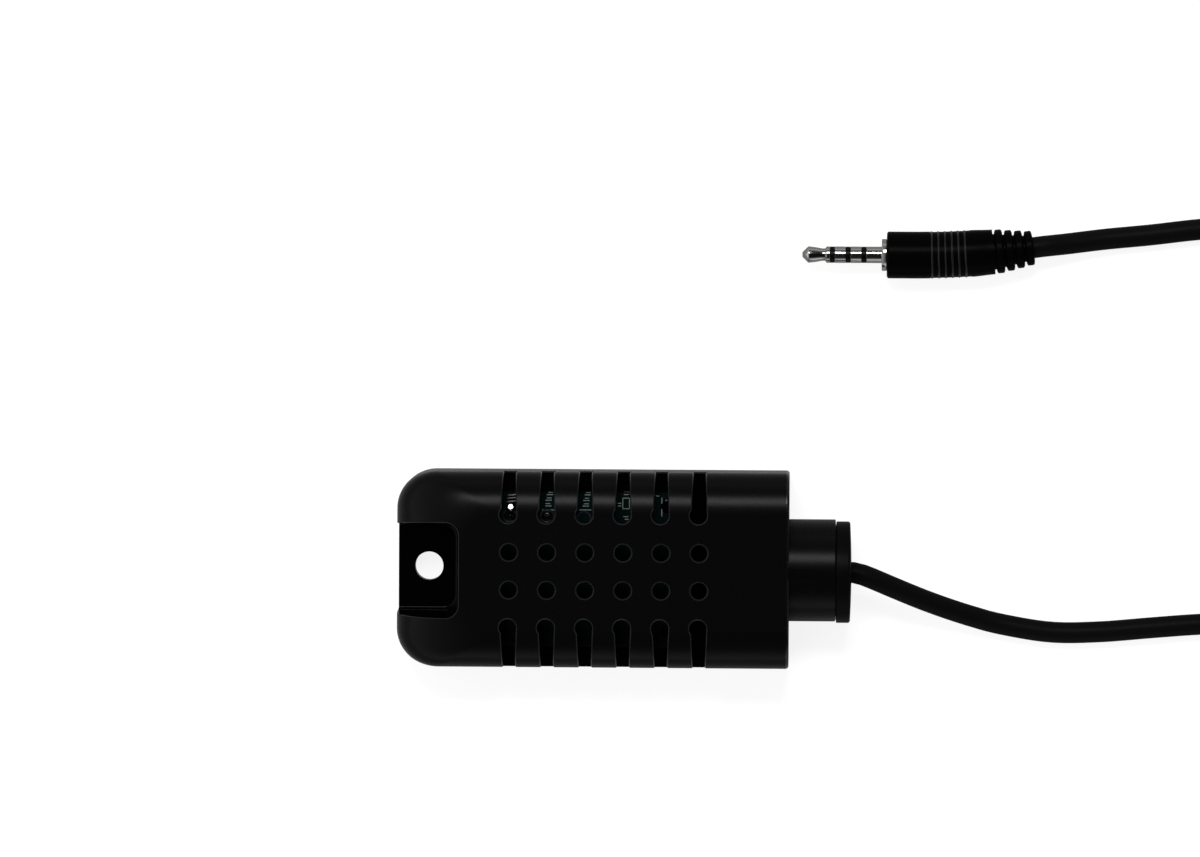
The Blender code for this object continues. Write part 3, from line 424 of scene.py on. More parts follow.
# Head case
body = dict(
    lugEnd=-34.3, cableEnd=24.9, halfWidth=14.75, height=15.5, split=7.75, wall=1.5,
    corner=5.7, cornerSteps=20,       # corners of the lug end, seen from above
    shoulderWidth=6.1, shoulderDrop=5.2, shoulderSteps=28,
    lipInset=0.45, lipGap=0.01,       # a lip behind the parting groove keeps light out
    endSlope=9.7,                     # the vented face falls to the parting plane over this
    backEdge=1.0, cableEdge=0.45, edgeSteps=5, partEdge=0.12, partGap=0.1,
    neckRadius=7.7, neckEnd=31.9, neckEdge=0.15, boreRadius=6.2,
)
recess = dict(length=9.6, width=14.4, corner=2.0, draft=3.4, floor=2.7, fillet=0.28, rim=0.09)
lugHole = dict(x=-29.7, radius=2.15, edge=0.2)
vents = dict(
    firstX=-17.15, pitch=5.71, count=6,
    row=2.83, radius=1.24, chamfer=0.2,
    slotY=8.5, slotRadius=1.3, slotShift=-0.13, innerHalf=1.16, mouthHalf=0.9, sill=8.75,
    sillRound=0.2, rim=0.16,
)
inner = dict(                         # inside the case
    boardTop=7.5, boardUnder=5.9, gap=0.3,
    postXY=((-19.3, 9.4), (6.5, 9.4)), postRadius=1.3, pegRadius=0.7, pegTop=7.9, pegEdge=0.2,
    holdDownX=(-20.5, 7.7), holdDownRadius=1.2,
    railX=(-19.5, 24.5), railInner=12.15, railOuter=12.95, railRoot=13.9,  # root in the wall
    railBottom=4.6, railStep=0.35, railTop=8.55, railEdge=0.15,
)


def planOutline(left, right, half, radius):
    # the head from above: wide round corners at the lug end, small ones at the neck
    edge, steps, few = body["cableEdge"], body["cornerSteps"], body["edgeSteps"]
    return np.vstack([arc((right - edge, edge - half), edge, -90, 0, few),
                      arc((right - edge, half - edge), edge, 0, 90, few),
                      arc((left + radius, half - radius), radius, 90, 180, steps),
                      arc((left + radius, radius - half), radius, 180, 270, steps)])


def sectionInset(height):
    # how far the vented face lies inside the outline at a height: along the sides a quarter
    # ellipse of the shoulder's width and drop, at the lug end one of the slope's length
    drop = body["shoulderDrop"]
    over = np.clip((height - (body["height"] - drop)) / drop, 0, 1)
    rise = np.clip((height - body["split"]) / (body["height"] - body["split"]), 0, 1)
    return (body["shoulderWidth"] * (1 - np.sqrt(1 - over ** 2)),
            body["endSlope"] * (1 - np.sqrt(1 - rise ** 2)))


def endPull(depth):
    # how far the end face at the neck draws back this deep under the top or over the back:
    # a quarter round as small as its corners
    edge = body["cableEdge"]
    share = np.clip((edge - depth) / edge, 0, 1)
    return edge * (1 - np.sqrt(1 - share ** 2))


def faceHeight(x, y):
    # height of the vented face over a point, by halving the range of heights whose
    # outline still holds the point
    low, high = np.full(x.shape, body["split"]), np.full(x.shape, body["height"])
    radius = body["corner"]
    for _ in range(30):
        middle = (low + high) / 2
        side, end = sectionInset(middle)
        left, half = body["lugEnd"] + end, body["halfWidth"] - side
        dx = np.maximum(left + radius - x, 0)
        dy = np.maximum(np.abs(y) - (half - radius), 0)
        holds = np.where((dx > 0) & (dy > 0), dx ** 2 + dy ** 2 <= radius ** 2,
                         (x >= left) & (np.abs(y) <= half))
        low, high = np.where(holds, middle, low), np.where(holds, high, middle)
    return low


def faceNormal(x, y):
    # upward normal of the vented face from its slopes over a small step
    step = 0.05
    dx = (faceHeight(x + step, y) - faceHeight(x - step, y)) / (2 * step)
    dy = (faceHeight(x, y + step) - faceHeight(x, y - step)) / (2 * step)
    return unit(np.stack([-dx, -dy, np.ones_like(dx)], axis=-1))


def raised(outline, height):
    # a flat outline as points at one height
    return np.column_stack([outline, np.full(len(outline), height)])


def circles(x, y, levels, columns):
    # rings about an upright line, one for each level of (radius, height)
    return [raised(arc((x, y), radius, 0, 360, columns)[:-1], z) for radius, z in levels]


def frontRings(low, inset, edge):
    # outlines of the front shell from its parting edge up over the shoulder
    spring = body["height"] - body["shoulderDrop"]
    turns = np.radians(np.linspace(0, 90, body["shoulderSteps"] + 1))
    heights = np.concatenate([np.linspace(low + edge, spring, 8)[:-1],
                              spring + body["shoulderDrop"] * np.sin(turns)])
    shrink = (body["height"] - inset - low) / (body["height"] - low)
    rings = []
    if edge:
        rings.append(raised(planOutline(body["lugEnd"] + edge, body["cableEnd"],
                                        body["halfWidth"] - edge, body["corner"] - edge), low))
    for height in heights:
        side, end = sectionInset(height)
        pull = 0 if inset else endPull(body["height"] - height)
        outline = planOutline(body["lugEnd"] + inset + end, body["cableEnd"] - inset - pull,
                              body["halfWidth"] - inset - side, body["corner"])
        rings.append(raised(outline, low + (height - low) * shrink))
    return np.stack(rings)


def backRings(high, inset, edge):
    # outlines of the back shell from its flat back up to the parting edge, and of the lip
    # that closes the groove behind that edge
    turns = np.radians(np.linspace(0, 90, 9))
    rounding = 0 if inset else body["backEdge"]
    levels = [(rounding * (1 - cos(a)), rounding * (1 - sin(a))) for a in turns]
    levels = levels if rounding else levels[-1:]
    levels += [(high - inset - edge, 0), (high - inset, edge)] if edge else [(high - inset, 0)]
    rings = []
    for rise, pull in levels:
        back = 0 if inset else endPull(rise)
        outline = planOutline(body["lugEnd"] + inset + pull, body["cableEnd"] - inset - back,
                              body["halfWidth"] - inset - pull, body["corner"])
        rings.append(raised(outline, inset + rise))
    if edge:
        step = body["lipInset"]
        outline = planOutline(body["lugEnd"] + step, body["cableEnd"] - step,
                              body["halfWidth"] - step, body["corner"] - step)
        rings += [raised(outline, z) for z in (high, high + body["partGap"] - body["lipGap"])]
    return np.stack(rings)


def recessOutline(height, grow=0.0, shrink=0.0):
    # plan of the recess at a height, drafted, open at the lug end
    pull = (body["height"] - height) * tan(radians(recess["draft"])) + shrink
    half = recess["width"] / 2 - pull + grow
    end = body["lugEnd"] + recess["length"] - pull + grow
    radius = recess["corner"] + grow
    outside = body["lugEnd"] - 2 * body["wall"]
    return np.vstack([[(outside, -half)], arc((end - radius, radius - half), radius, -90, 0, 12),
                      arc((end - radius, half - radius), radius, 0, 90, 12), [(outside, half)]])


def recessCutter():
    # the hollow over the lug, with a fillet where its walls meet the floor
    low, bend, over = recess["floor"], recess["fillet"], body["height"] + 2
    turns = np.radians(np.linspace(0, 90, 7))
    rings = [raised(recessOutline(low + bend * (1 - cos(a)), shrink=bend * (1 - sin(a))),
                    low + bend * (1 - cos(a))) for a in turns]
    return solid("recess", [*rings, raised(recessOutline(over), over)])


def hollow(rings):
    # the room inside a shell, without the walls that stand round the recess
    lining = [raised(recessOutline(z, grow=body["wall"]), z) for z in (-2, body["height"] + 2)]
    room = worked("room", solid("room", rings), [("DIFFERENCE", solid("lining", lining))])
    return finished(room, innerFace)


def rimWedge(path, normals, inward, size):
    # a wedge along a rim: at each point a triangle whose long side cuts the edge off at the
    # same distance on the face and on the wall
    return np.stack([path - 1.5 * size * normals + 0.5 * size * inward,
                     path + 0.5 * size * normals - 1.5 * size * inward,
                     path + 1.5 * size * (normals + inward)], axis=1)


def recessRim():
    # points along the recess's edge, which its draft moves inwards with the depth of the face
    # there; that depth depends on the place, so it is found in a few rounds
    plan = recessOutline(body["height"])
    count, rounds, clear = 14, 6, 0.25    # points on a straight side; mm kept off the lug's end
    points = np.vstack([np.linspace(plan[0], plan[1], count, endpoint=False), plan[1:-1],
                        np.linspace(plan[-2], plan[-1], count + 1)[1:]])
    x, y = points.T
    corner, half = recess["corner"], recess["width"] / 2
    inwards = np.column_stack([
        np.clip((x - (plan[:, 0].max() - corner)) / corner, 0, 1),
        np.sign(y) * np.clip((np.abs(y) - half + corner) / corner, 0, 1)])
    heights = faceHeight(x, y)
    for _ in range(rounds):
        pull = (body["height"] - heights) * tan(radians(recess["draft"]))
        moved = points - pull[:, None] * inwards
        heights = faceHeight(moved[:, 0], moved[:, 1])
    rim = np.column_stack([moved, heights])[moved[:, 0] > body["lugEnd"] + clear]
    normals = faceNormal(rim[:, 0], rim[:, 1])
    return rim, normals, unit(np.cross(normals, unit(np.gradient(rim, axis=0))))


def ventPlaces():
    # X of each column of vents, with each side of the head
    columns = vents["firstX"] + vents["pitch"] * np.arange(vents["count"])
    return [(x, side) for x in columns for side in (-1, 1)]


def ventCutter():
    # a round hole for every vent, which opens out in a cone at the face; the cone is a rim
    radius, over, top = vents["radius"], vents["chamfer"], body["height"]
    levels = ((radius, top - 3), (radius, top - over), (radius + 2 * over, top + over))
    columns = 40
    holes = [circles(x, side * vents["row"], levels, columns) for x, side in ventPlaces()]
    faces = np.repeat((innerFace, rimFace, innerFace), (columns, columns, 2))
    return finished(solid("roundVents", *holes), np.tile(faces, len(holes)))


def slotShape():
    # a keyhole: a round end set a little to one side, then edges that close in towards the
    # side wall; distances from the head's middle, and the reach to the left and to the right
    radius, shift, centre = vents["slotRadius"], vents["slotShift"], vents["slotY"]
    near = centre - radius * np.cos(np.linspace(0, 0.8 * pi, 24))
    flat = body["halfWidth"] - body["shoulderWidth"]
    start = asin((near[-1] - flat) / body["shoulderWidth"])
    far = flat + body["shoulderWidth"] * np.sin(np.linspace(start, pi / 2, 26)[1:])
    y = np.concatenate([near, far])
    circle = np.sqrt(np.maximum(radius ** 2 - (y - centre) ** 2, 0))
    share = np.maximum(y - centre, 0) / (body["halfWidth"] - centre)
    straight = np.where(y > centre, vents["innerHalf"] + share * (
        vents["mouthHalf"] - vents["innerHalf"]), -1)
    return y, np.maximum(circle - shift, straight), np.maximum(circle + shift, straight)


def slotCutter():
    # a hollow with upright sides; its floor at the side wall turns down in a quarter round
    y, left, right = slotShape()
    turnDown = vents["sillRound"]
    t = np.clip((y - (body["halfWidth"] - turnDown)) / turnDown, 0, 1)
    floor = vents["sill"] - turnDown * (1 - np.sqrt(1 - t ** 2))
    y, left, right, floor = (np.append(v, v[-1] + more) for v, more in (
        (y, body["wall"]), (left, 0), (right, 0), (floor, 0)))
    roof = np.full(len(y), body["height"] + 2)
    grids = []
    for x, side in ventPlaces():
        corners = [np.column_stack([x + across, side * y, z]) for across, z in (
            (-left, floor), (right, floor), (right, roof), (-left, roof))]
        grids.append(np.stack(corners, axis=1)[1:])
    return finished(solid("slots", *grids), innerFace)


def slotRims():
    # the rim runs up the side wall, over the shoulder, round the keyhole's end and back
    y, left, right = slotShape()
    drop, width = body["shoulderDrop"], body["shoulderWidth"]
    over = np.clip((y - body["halfWidth"] + width) / width, 0, 1)
    upright = np.sqrt(1 - over ** 2)
    spring = body["height"] - drop
    normals = unit(np.column_stack([np.zeros_like(y), over / width, upright / drop]))
    down = np.linspace(0.4, 1, 4) * (spring - vents["sill"])
    y, left, right, normals = (np.concatenate([v, np.repeat(v[-1:], 4, axis=0)])
                               for v in (y, left, right, normals))
    z = np.concatenate([spring + drop * upright, spring - down])
    wedges = []
    for x, side in ventPlaces():
        path = np.vstack([np.column_stack([x - left, side * y, z])[::-1],
                          np.column_stack([x + right, side * y, z])[1:]])
        facing = np.vstack([normals[::-1], normals[1:]]) * (1, side, 1)
        inward = unit(np.cross(facing, unit(np.gradient(path, axis=0)))) * side
        wedges.append(rimWedge(path, facing, inward, vents["rim"]))
    return finished(solid("slotRims", *wedges), rimFace)


def halfNeck(side):
    # half of the neck's round bar, with the parting gap left free and its far edge rounded
    lift, full = body["partGap"] / 2, body["neckRadius"]
    end, edge = body["neckEnd"], body["neckEdge"]
    rings = []
    for x, radius in ((body["cableEnd"] - body["wall"], full), (end - edge, full),
                      (end - 0.3 * edge, full - 0.3 * edge), (end, full - edge)):
        first = asin(lift / radius)
        a = np.linspace(first, pi - first, 61)
        rings.append(np.column_stack([np.full(len(a), x), radius * np.cos(a),
                                      body["split"] + side * radius * np.sin(a)]))
    return solid("neck", rings)


def boreSolid():
    # the round hole through the end wall and the neck
    profile = [(body["cableEnd"] - 2 * body["wall"], body["boreRadius"]),
               (body["neckEnd"] + 2, body["boreRadius"])]
    return solid("bore", turnedGrid(profile, (0, 0, body["split"]), 64))


def uprights(places, levels, columns=28):
    # round posts or holes of the inner finish
    return finished(solid("uprights", *[circles(x, y, levels, columns) for x, y in places]),
                    innerFace)


def endRims(mesh):
    # the small round about the end face at the neck counts as a rim, the face itself doesn't
    centres, normals = np.empty((2, len(mesh.polygons) * 3))
    mesh.polygons.foreach_get("center", centres)
    mesh.polygons.foreach_get("normal", normals)
    near = centres[::3] > (body["cableEnd"] - body["cableEdge"]) * mm
    return finished(mesh, rimFace * (near & (normals[::3] < 0.98)))


def addShell(name, rings, steps, node):
    # half of the case: its outline after the Boolean steps; wide flat faces keep their own
    # direction where a rounding runs into them
    skin = endRims(gridMesh(name, rings * mm))
    piece = addPiece(name, worked(name, skin, steps, caseFinishes), None, 28, "case", [node])
    shading = piece.modifiers.new("even shading", "WEIGHTED_NORMAL")
    shading.keep_sharp = True
    shading.weight = 80


def addFrontShell():
    # neck, hollow and bore, the pins that hold the board down, then the cuts from outside
    low = body["split"] + body["partGap"] / 2
    holdDowns = uprights([(x, 0) for x in inner["holdDownX"]], (
        (inner["holdDownRadius"], inner["boardTop"] + inner["gap"]),
        (inner["holdDownRadius"], body["height"] - body["wall"] / 2)))
    addShell("frontShell", frontRings(low, 0, body["partEdge"]), [
        ("UNION", halfNeck(1)),
        ("DIFFERENCE", hollow(frontRings(low - body["wall"], body["wall"], 0))),
        ("DIFFERENCE", boreSolid()),
        ("UNION", holdDowns),
        ("DIFFERENCE", finished(recessCutter(), innerFace)),
        ("DIFFERENCE", finished(solid("rim", rimWedge(*recessRim(), recess["rim"])), rimFace)),
        ("DIFFERENCE", ventCutter()),
        ("DIFFERENCE", slotCutter()),
        ("DIFFERENCE", slotRims()),
    ], "front_shell")


def railSolids():
    # rails inside the long walls that stand up behind the front shell's walls
    near, outer, root, top, edge = (inner[part] for part in (
        "railInner", "railOuter", "railRoot", "railTop", "railEdge"))
    seat = body["split"] - body["partGap"] / 2 - inner["railStep"]
    section = np.array([(near, inner["railBottom"]), (root, inner["railBottom"]), (root, seat),
                        (outer, seat), (outer, top - edge), (outer - edge, top), (near, top)])
    rails = [[np.column_stack([np.full(len(section), x), side * section[:, 0], section[:, 1]])
              for x in inner["railX"]] for side in (-1, 1)]
    return finished(solid("rails", *rails), innerFace)


def addBackShell():
    # neck, hollow, bore, lug recess and its hole, then the posts for the board and the rails
    high = body["split"] - body["partGap"] / 2
    radius, edge = lugHole["radius"], lugHole["edge"]
    hole = uprights([(lugHole["x"], 0)], (
        (radius + 2 * edge, -edge), (radius, edge), (radius, recess["floor"] - edge),
        (radius + 2 * edge, recess["floor"] + edge)), 56)
    post, peg, seat = inner["postRadius"], inner["pegRadius"], inner["boardUnder"] - inner["gap"]
    posts = uprights([(x, side * y) for x, y in inner["postXY"] for side in (-1, 1)], (
        (post, body["wall"] / 2), (post, seat), (peg, seat),
        (peg, inner["pegTop"] - inner["pegEdge"]), (peg - inner["pegEdge"], inner["pegTop"])))
    addShell("backShell", backRings(high, 0, body["partEdge"]), [
        ("UNION", halfNeck(-1)),
        ("DIFFERENCE", hollow(backRings(high + body["wall"], body["wall"], 0))),
        ("DIFFERENCE", boreSolid()),
        ("DIFFERENCE", finished(recessCutter(), innerFace)),
        ("DIFFERENCE", hole),
        ("UNION", posts),
        ("UNION", railSolids()),
    ], "back_shell")


bushing = dict(
    start=32.2, thickness=2.1, radius=7.65, edge=0.35, crown=0.2, drop=0.25,
    rimBack=0.2, rimEdge=0.08,        # the flange's underside at its rim
    seatBack=0.27, seatRadius=7.2,    # and a little nearer to the neck within this radius
    spigotRadius=5.65, spigotLength=5.0, spigotEdge=0.3, bore=1.63, boreEdge=0.12,
)


def addBushing(b):
    # the flange's outer face is a shallow dome: it falls with the square of the radius
    rim, back, seat, far = b["radius"], -b["rimBack"], -b["seatBack"], -b["spigotLength"]
    reach = rim - b["edge"]
    radii = np.linspace(b["bore"] + b["boreEdge"], reach, 10)
    face = np.column_stack([b["thickness"] - b["crown"] * (radii / reach) ** 2, radii])
    centre = b["thickness"] - b["crown"] - b["edge"]
    rounding = arc((centre, reach), b["edge"], 0, 90, 7)[1:]
    inside = [(back + b["rimEdge"], rim), (back, rim - b["rimEdge"]), (back, b["seatRadius"]),
              (seat, b["seatRadius"]), (seat, b["spigotRadius"]),
              (far + b["spigotEdge"], b["spigotRadius"]),
              (far, b["spigotRadius"] - b["spigotEdge"]), (far, b["bore"]),
              (b["thickness"] - b["boreEdge"], b["bore"])]
    profile = np.vstack([face, rounding, inside])
    grid = turnedGrid(profile, (b["start"], -b["drop"], body["split"]), 96)
    addPiece("bushing", solid("bushing", grid, looped=True), bushingRubber, 40, "bushing",
             ["cable_bushing"])


addFrontShell()
addBackShell()
addBushing(bushing)
print("case made")

# Jack plug, along its axis from the tip
plug = dict(
    place=(26.6, 47.55, 3.54),
    # the tip's point: distance and radius
    nose=((0, 0.35), (0.04, 0.41), (0.74, 1.11), (0.86, 1.22), (0.96, 1.25)),
    pinRadius=1.25, waistRadius=0.95, waist=(2.95, 3.45), flare=0.18, tip=4.15,
    insulator=0.75, insulatorGap=0.01, insulatorDrop=0.02, insulatorEdge=0.03,
    ring=1.64, sleeve=2.32, edge=0.05, collarRadius=2.42, collar=0.75, collarEdge=0.1,
    gripStart=12.77, gripRadius=3.54, gripEdge=0.35, ringsStart=19.35, ringPitch=1.01, rings=6,
    ringHeight=0.1, ringWidth=0.34, taperStart=25.41, reliefStart=28.91, gripEnd=3.4,
    reliefPitch=1.5, notch=0.26, notchDepth=0.62, reliefs=4, lastRadius=2.62, lobeEdge=0.24,
    bendStart=16.4, bendRadius=140.0,
)


def addTurned(name, profile, material, slot, node, columns=72):
    # a piece of the plug: its profile of (distance, radius) turned about the plug's axis
    mesh = solid(name, turnedGrid(profile, plug["place"], columns))
    return addPiece(name, mesh, material, 30, slot, [node])


def addTip(p):
    # behind the point the long side eases down to the waist, which flares out again
    radius, edge, start = p["pinRadius"], p["edge"], p["nose"][-1][0]
    t = np.linspace(0, 1, 14)[1:]
    slope = np.column_stack([
        start + (p["waist"][0] - start) * t,
        radius + (p["waistRadius"] - radius) * (0.55 * t + 0.45 * t ** 2)])
    flare = p["waist"][1] + p["flare"]
    back = [(p["waist"][1], p["waistRadius"]), (flare, radius - edge), (flare + edge, radius),
            (p["tip"] - edge, radius), (p["tip"], radius - edge)]
    profile = np.vstack([p["nose"], slope, back])
    return addTurned("plugTip", profile, nickelPlate, "contact", "plug_tip")


def addBand(name, start, end, radius, edge, *finish):
    # a plain turned band with both edges just broken
    return addTurned(name, [(start, radius - edge), (start + edge, radius), (end - edge, radius),
                            (end, radius - edge)], *finish)


def addSleeve(p, start):
    # the last contact and the collar behind it, with a small bevel in the corner
    shoulder = start + p["sleeve"]
    back = shoulder + p["collar"]
    radius, collar, edge, bevel = p["pinRadius"], p["collarRadius"], p["collarEdge"], 0.06
    profile = [(start, radius - p["edge"]), (start + p["edge"], radius),
               (shoulder - bevel, radius), (shoulder, radius + bevel), (shoulder, collar - edge),
               (shoulder + edge * 0.3, collar - edge * 0.3), (shoulder + edge, collar),
               (back - edge, collar), (back, collar - edge)]
    return addTurned("plugSleeve", profile, nickelPlate, "contact", "plug_sleeve", 96)


def gripProfile(p):
    # smooth stretch with fine raised rings, a slight taper, then rounded lobes between
    # narrow notches; radius as a sum and product of these along the axis
    front, rings, taper, relief = (p[part] for part in (
        "gripStart", "ringsStart", "taperStart", "reliefStart"))
    edge, pitch = p["gripEdge"], p["reliefPitch"]
    s = np.concatenate([
        front + edge * (1 - np.cos(np.linspace(0, pi / 2, 9))),
        np.arange(front + edge + 0.3, rings - 0.3, 0.5),
        np.arange(rings - 0.3, taper + 0.2, 0.04),
        np.arange(taper + 0.3, relief - 0.1, 0.25),
        np.linspace(relief - 0.05, relief + p["reliefs"] * pitch, 241),
    ])
    into = np.clip((s - front) / edge, 0, 1)
    radius = p["gripRadius"] - edge * (1 - np.sqrt(1 - (1 - into) ** 2))
    lead = 0.2                         # of the pitch, from ringsStart to the first ring's middle
    phase = (s - rings) / p["ringPitch"]
    nearest = np.clip(np.round(phase - lead), 0, p["rings"] - 1) + lead
    away = np.abs(phase - nearest) * p["ringPitch"] / (p["ringWidth"] / 2)
    radius += p["ringHeight"] * np.clip(1 - away ** 2, 0, 1) ** 1.5
    radius -= 0.5 * p["ringHeight"] * ((s > rings - 0.1) & (s < taper))
    radius += (p["gripEnd"] - p["gripRadius"]) * smoothStep((s - taper) / (relief - taper))
    u = (s - relief) / pitch
    number = np.clip(np.floor(u), 0, p["reliefs"] - 1)
    step = 0.35                        # of one lobe's fall, by which the first is smaller too
    lobeRadius = p["gripEnd"] + (p["lastRadius"] - p["gripEnd"]) * (number + step) / (
        p["reliefs"] - 1 + step)
    notch = p["notch"] / pitch
    across = (u - number - notch) / (1 - notch)
    side = np.clip(np.minimum(across, 1 - across) / p["lobeEdge"], 0, 1)
    lobe = lobeRadius - p["notchDepth"] * (1 - np.sqrt(1 - (1 - side) ** 2))
    return s, np.where(u > 0, lobe, radius), away < 0.9


def addGrip(p):
    # the turned profile carried along the plug's axis, which bends sideways in a wide arc
    s, radius, onRing = gripProfile(p)
    turn = np.clip(s - p["bendStart"], 0, None) / p["bendRadius"]
    x = p["place"][0] + np.minimum(s, p["bendStart"]) + p["bendRadius"] * np.sin(turn)
    y = p["place"][1] + p["bendRadius"] * (1 - np.cos(turn))
    centre = np.stack([x, y, np.full(len(s), p["place"][2])], axis=-1)
    across = np.stack([-np.sin(turn), np.cos(turn), np.zeros(len(s))], axis=-1)
    columns = 96
    ring = roundSections(radius, columns)
    mesh = solid("grip", centre[:, None, :] + ring[..., 0:1] * across[:, None, :]
                 + ring[..., 1:2] * up)
    mesh.materials.append(gripPvc)
    mesh.materials.append(ridgePvc)
    finished(mesh, np.append(np.repeat(onRing[:-1] & onRing[1:], columns), (0, 0)))
    return addPiece("grip", mesh, None, 50, "grip", ["plug_body"])


plugPieces = [addTip(plug)]
place = plug["tip"]
for number in range(1, 4):
    gap, end = plug["insulatorGap"], place + plug["insulator"]
    plugPieces.append(addBand(
        f"insulator{number}", place + gap, end - gap, plug["pinRadius"] - plug["insulatorDrop"],
        plug["insulatorEdge"], insulatorNylon, "insulator", f"plug_insulator_{number}"))
    place = end
    if number < 3:
        place = end + plug["ring"]
        plugPieces.append(addBand(
            f"contactRing{number}", end, place, plug["pinRadius"], plug["edge"], nickelPlate,
            "contact", f"plug_ring_{number}"))
plugPieces.append(addSleeve(plug, place))
plugPieces.append(addGrip(plug))
print("plug made")

# Board: legend bars, pads and solder
marks = dict(
    under=0.005, height=0.03,         # the bars' underside and top over the board
    width=0.13,
    # bars: middle, length and degrees, slot by slot from the lug's side
    bars=((-11.53, 8.85, 1.8, 0),
          (-11.45, 9.45, 0.95, 0), (-11.55, 9.8, 0.75, 0), (-11.45, 10.3, 0.95, 0),
          (-11.35, 10.65, 0.75, 0), (-11.25, 11.15, 0.95, 0), (-11.15, 11.5, 0.7, 0),
          (-5.9, 8.88, 1.8, 0), (-5.85, 9.45, 0.95, 0), (-5.75, 9.8, 0.75, 0),
          (-5.75, 10.3, 0.95, 0), (-5.65, 10.65, 0.6, 0), (-5.55, 11.15, 0.9, 0),
          (-5.45, 11.5, 0.7, 0),
          (-0.25, 9.9, 1.7, 90), (0.75, 9.9, 1.7, 90), (0.25, 9.1, 1.1, 0), (0.25, 10.7, 1.1, 0),
          (-0.75, 9.9, 0.5, 0), (-0.75, 9.5, 0.5, 0), (0.3, 11.25, 0.8, 0), (0.35, 11.65, 0.8, 0),
          (0.25, 7.9, 0.8, 0), (0.35, 7.5, 0.6, 0),
          (5.0, 11.05, 0.5, 0), (5.65, 10.35, 0.9, 90), (5.65, 8.5, 1.1, 90),
          (6.35, 10.4, 0.25, 0)),
    extraPad=(-6.07, 7.6), padRadius=1.12, padHole=0.86, padUnder=0.01, padTop=0.04,
    joints=((-17.3, 7.9), (-14.5, 7.9), (-11.7, 7.9), (-8.9, 7.9)),
    shank=(0.45, 0.05),               # its radius, and how far it stands out under the board
    # a joint from its shank over the rim to its middle: radius and height over the pad
    joint=((0.45, -0.6), (0.9, -0.6), (0.99, 0.02), (0.95, 0.1), (0.88, 0.13), (0.8, 0.1),
           (0.66, -0.16), (0.5, -0.46), (0.34, -0.42), (0.24, -0.2), (0.15, -0.11),
           (0.04, -0.08)),
    blob=dict(place=(-17.17, 9.25, 7.52), radius=0.78, height=0.7, lean=13.5),
    strands=((-17.0, 10.12), (-16.95, 10.62), (-16.85, 11.08)),
    strand=dict(half=0.75, aside=0.08, lift=0.35, arch=0.05, radius=0.14),
)


def addMarks(m):
    # flat bars, each turned by its angle about its middle
    corner = np.array([(-1, -1), (1, -1), (1, 1), (-1, 1)], float)
    bars = []
    for x, y, length, angle in m["bars"]:
        a = radians(angle)
        along, across = np.array([cos(a), sin(a)]) * length, np.array([-sin(a), cos(a)])
        outline = (x, y) + (corner[:, :1] * along + corner[:, 1:] * across * m["width"]) / 2
        bars.append([raised(outline, inner["boardTop"] + z) for z in (m["under"], m["height"])])
    addPiece("legendBars", solid("legendBars", *bars), shadedLegendInk, 35, "board")


def addPads(m):
    # flat ring pads under each joint and one spare
    low, high = inner["boardTop"] + m["padUnder"], inner["boardTop"] + m["padTop"]
    section = ((m["padHole"], low), (m["padRadius"], low), (m["padRadius"], high),
               (m["padHole"], high))
    pads = [circles(x, y, section, 40) for x, y in (*m["joints"], m["extraPad"])]
    addPiece("pads", solid("pads", *pads, looped=True), dullSolder, 35, "solder")


def addJoints(m):
    # tin drawn down into each hole around the end of its conductor
    (shank, below), top = m["shank"], inner["boardTop"] + m["padTop"]
    levels = [(shank, inner["boardUnder"] - below)] + [(r, top + z) for r, z in m["joint"]]
    for number, (x, y) in enumerate(m["joints"], 1):
        addPiece(f"solderJoint{number}", solid("joint", circles(x, y, levels, 36)), dullSolder, 50,
                 "solder", [f"solder_joint_{number}"])
    addPiece("solderDrop", solid("drop", solderBlob(m["blob"])), brightSolder, 50, "solder")
    strands = solid("strands", *[strandEnd(x, y, m["strand"]) for x, y in m["strands"]])
    addPiece("tinnedStrands", strands, tinnedCopper, 50, "solder")


def solderBlob(b):
    # a drop that froze with a flat top: its height falls with the sixth power of the
    # distance from its middle, and the top leans towards the side wall
    t = np.linspace(1, 0.03, 26)[:, None]
    a = np.linspace(0, 2 * pi, 48, endpoint=False)[None, :]
    x, y = b["radius"] * t * np.cos(a), b["radius"] * t * np.sin(a)
    swell = (1 - t ** 6) * np.ones_like(a)
    z = b["place"][2] + swell * (b["height"] - tan(radians(b["lean"])) * y)
    return np.stack([b["place"][0] + x, b["place"][1] + y, z], axis=-1)


def strandEnd(x, y, s):
    # a tinned strand that runs across beside the joint in a low arch, higher by a parabola
    t = np.linspace(-1, 1, 20)
    height = inner["boardTop"] + s["lift"] + s["arch"] * (1 - t ** 2)
    path = np.column_stack([x + s["half"] * t, y + s["aside"] * t, height])
    return sweepGrid(path, roundSections(np.full(len(t), s["radius"]), 12))


addMarks(marks)
addPads(marks)
addJoints(marks)
for name, material in (("circuit_board", maskedBoard), ("humidity_sensor", chipEpoxy),
                       ("bypass_capacitor", capacitorCeramic), ("bus_resistor_1", resistorGlaze),
                       ("bus_resistor_2", resistorGlaze), ("inner_tie", tieNylon)):
    cad[name].data.materials.clear()
    cad[name].data.materials.append(material)


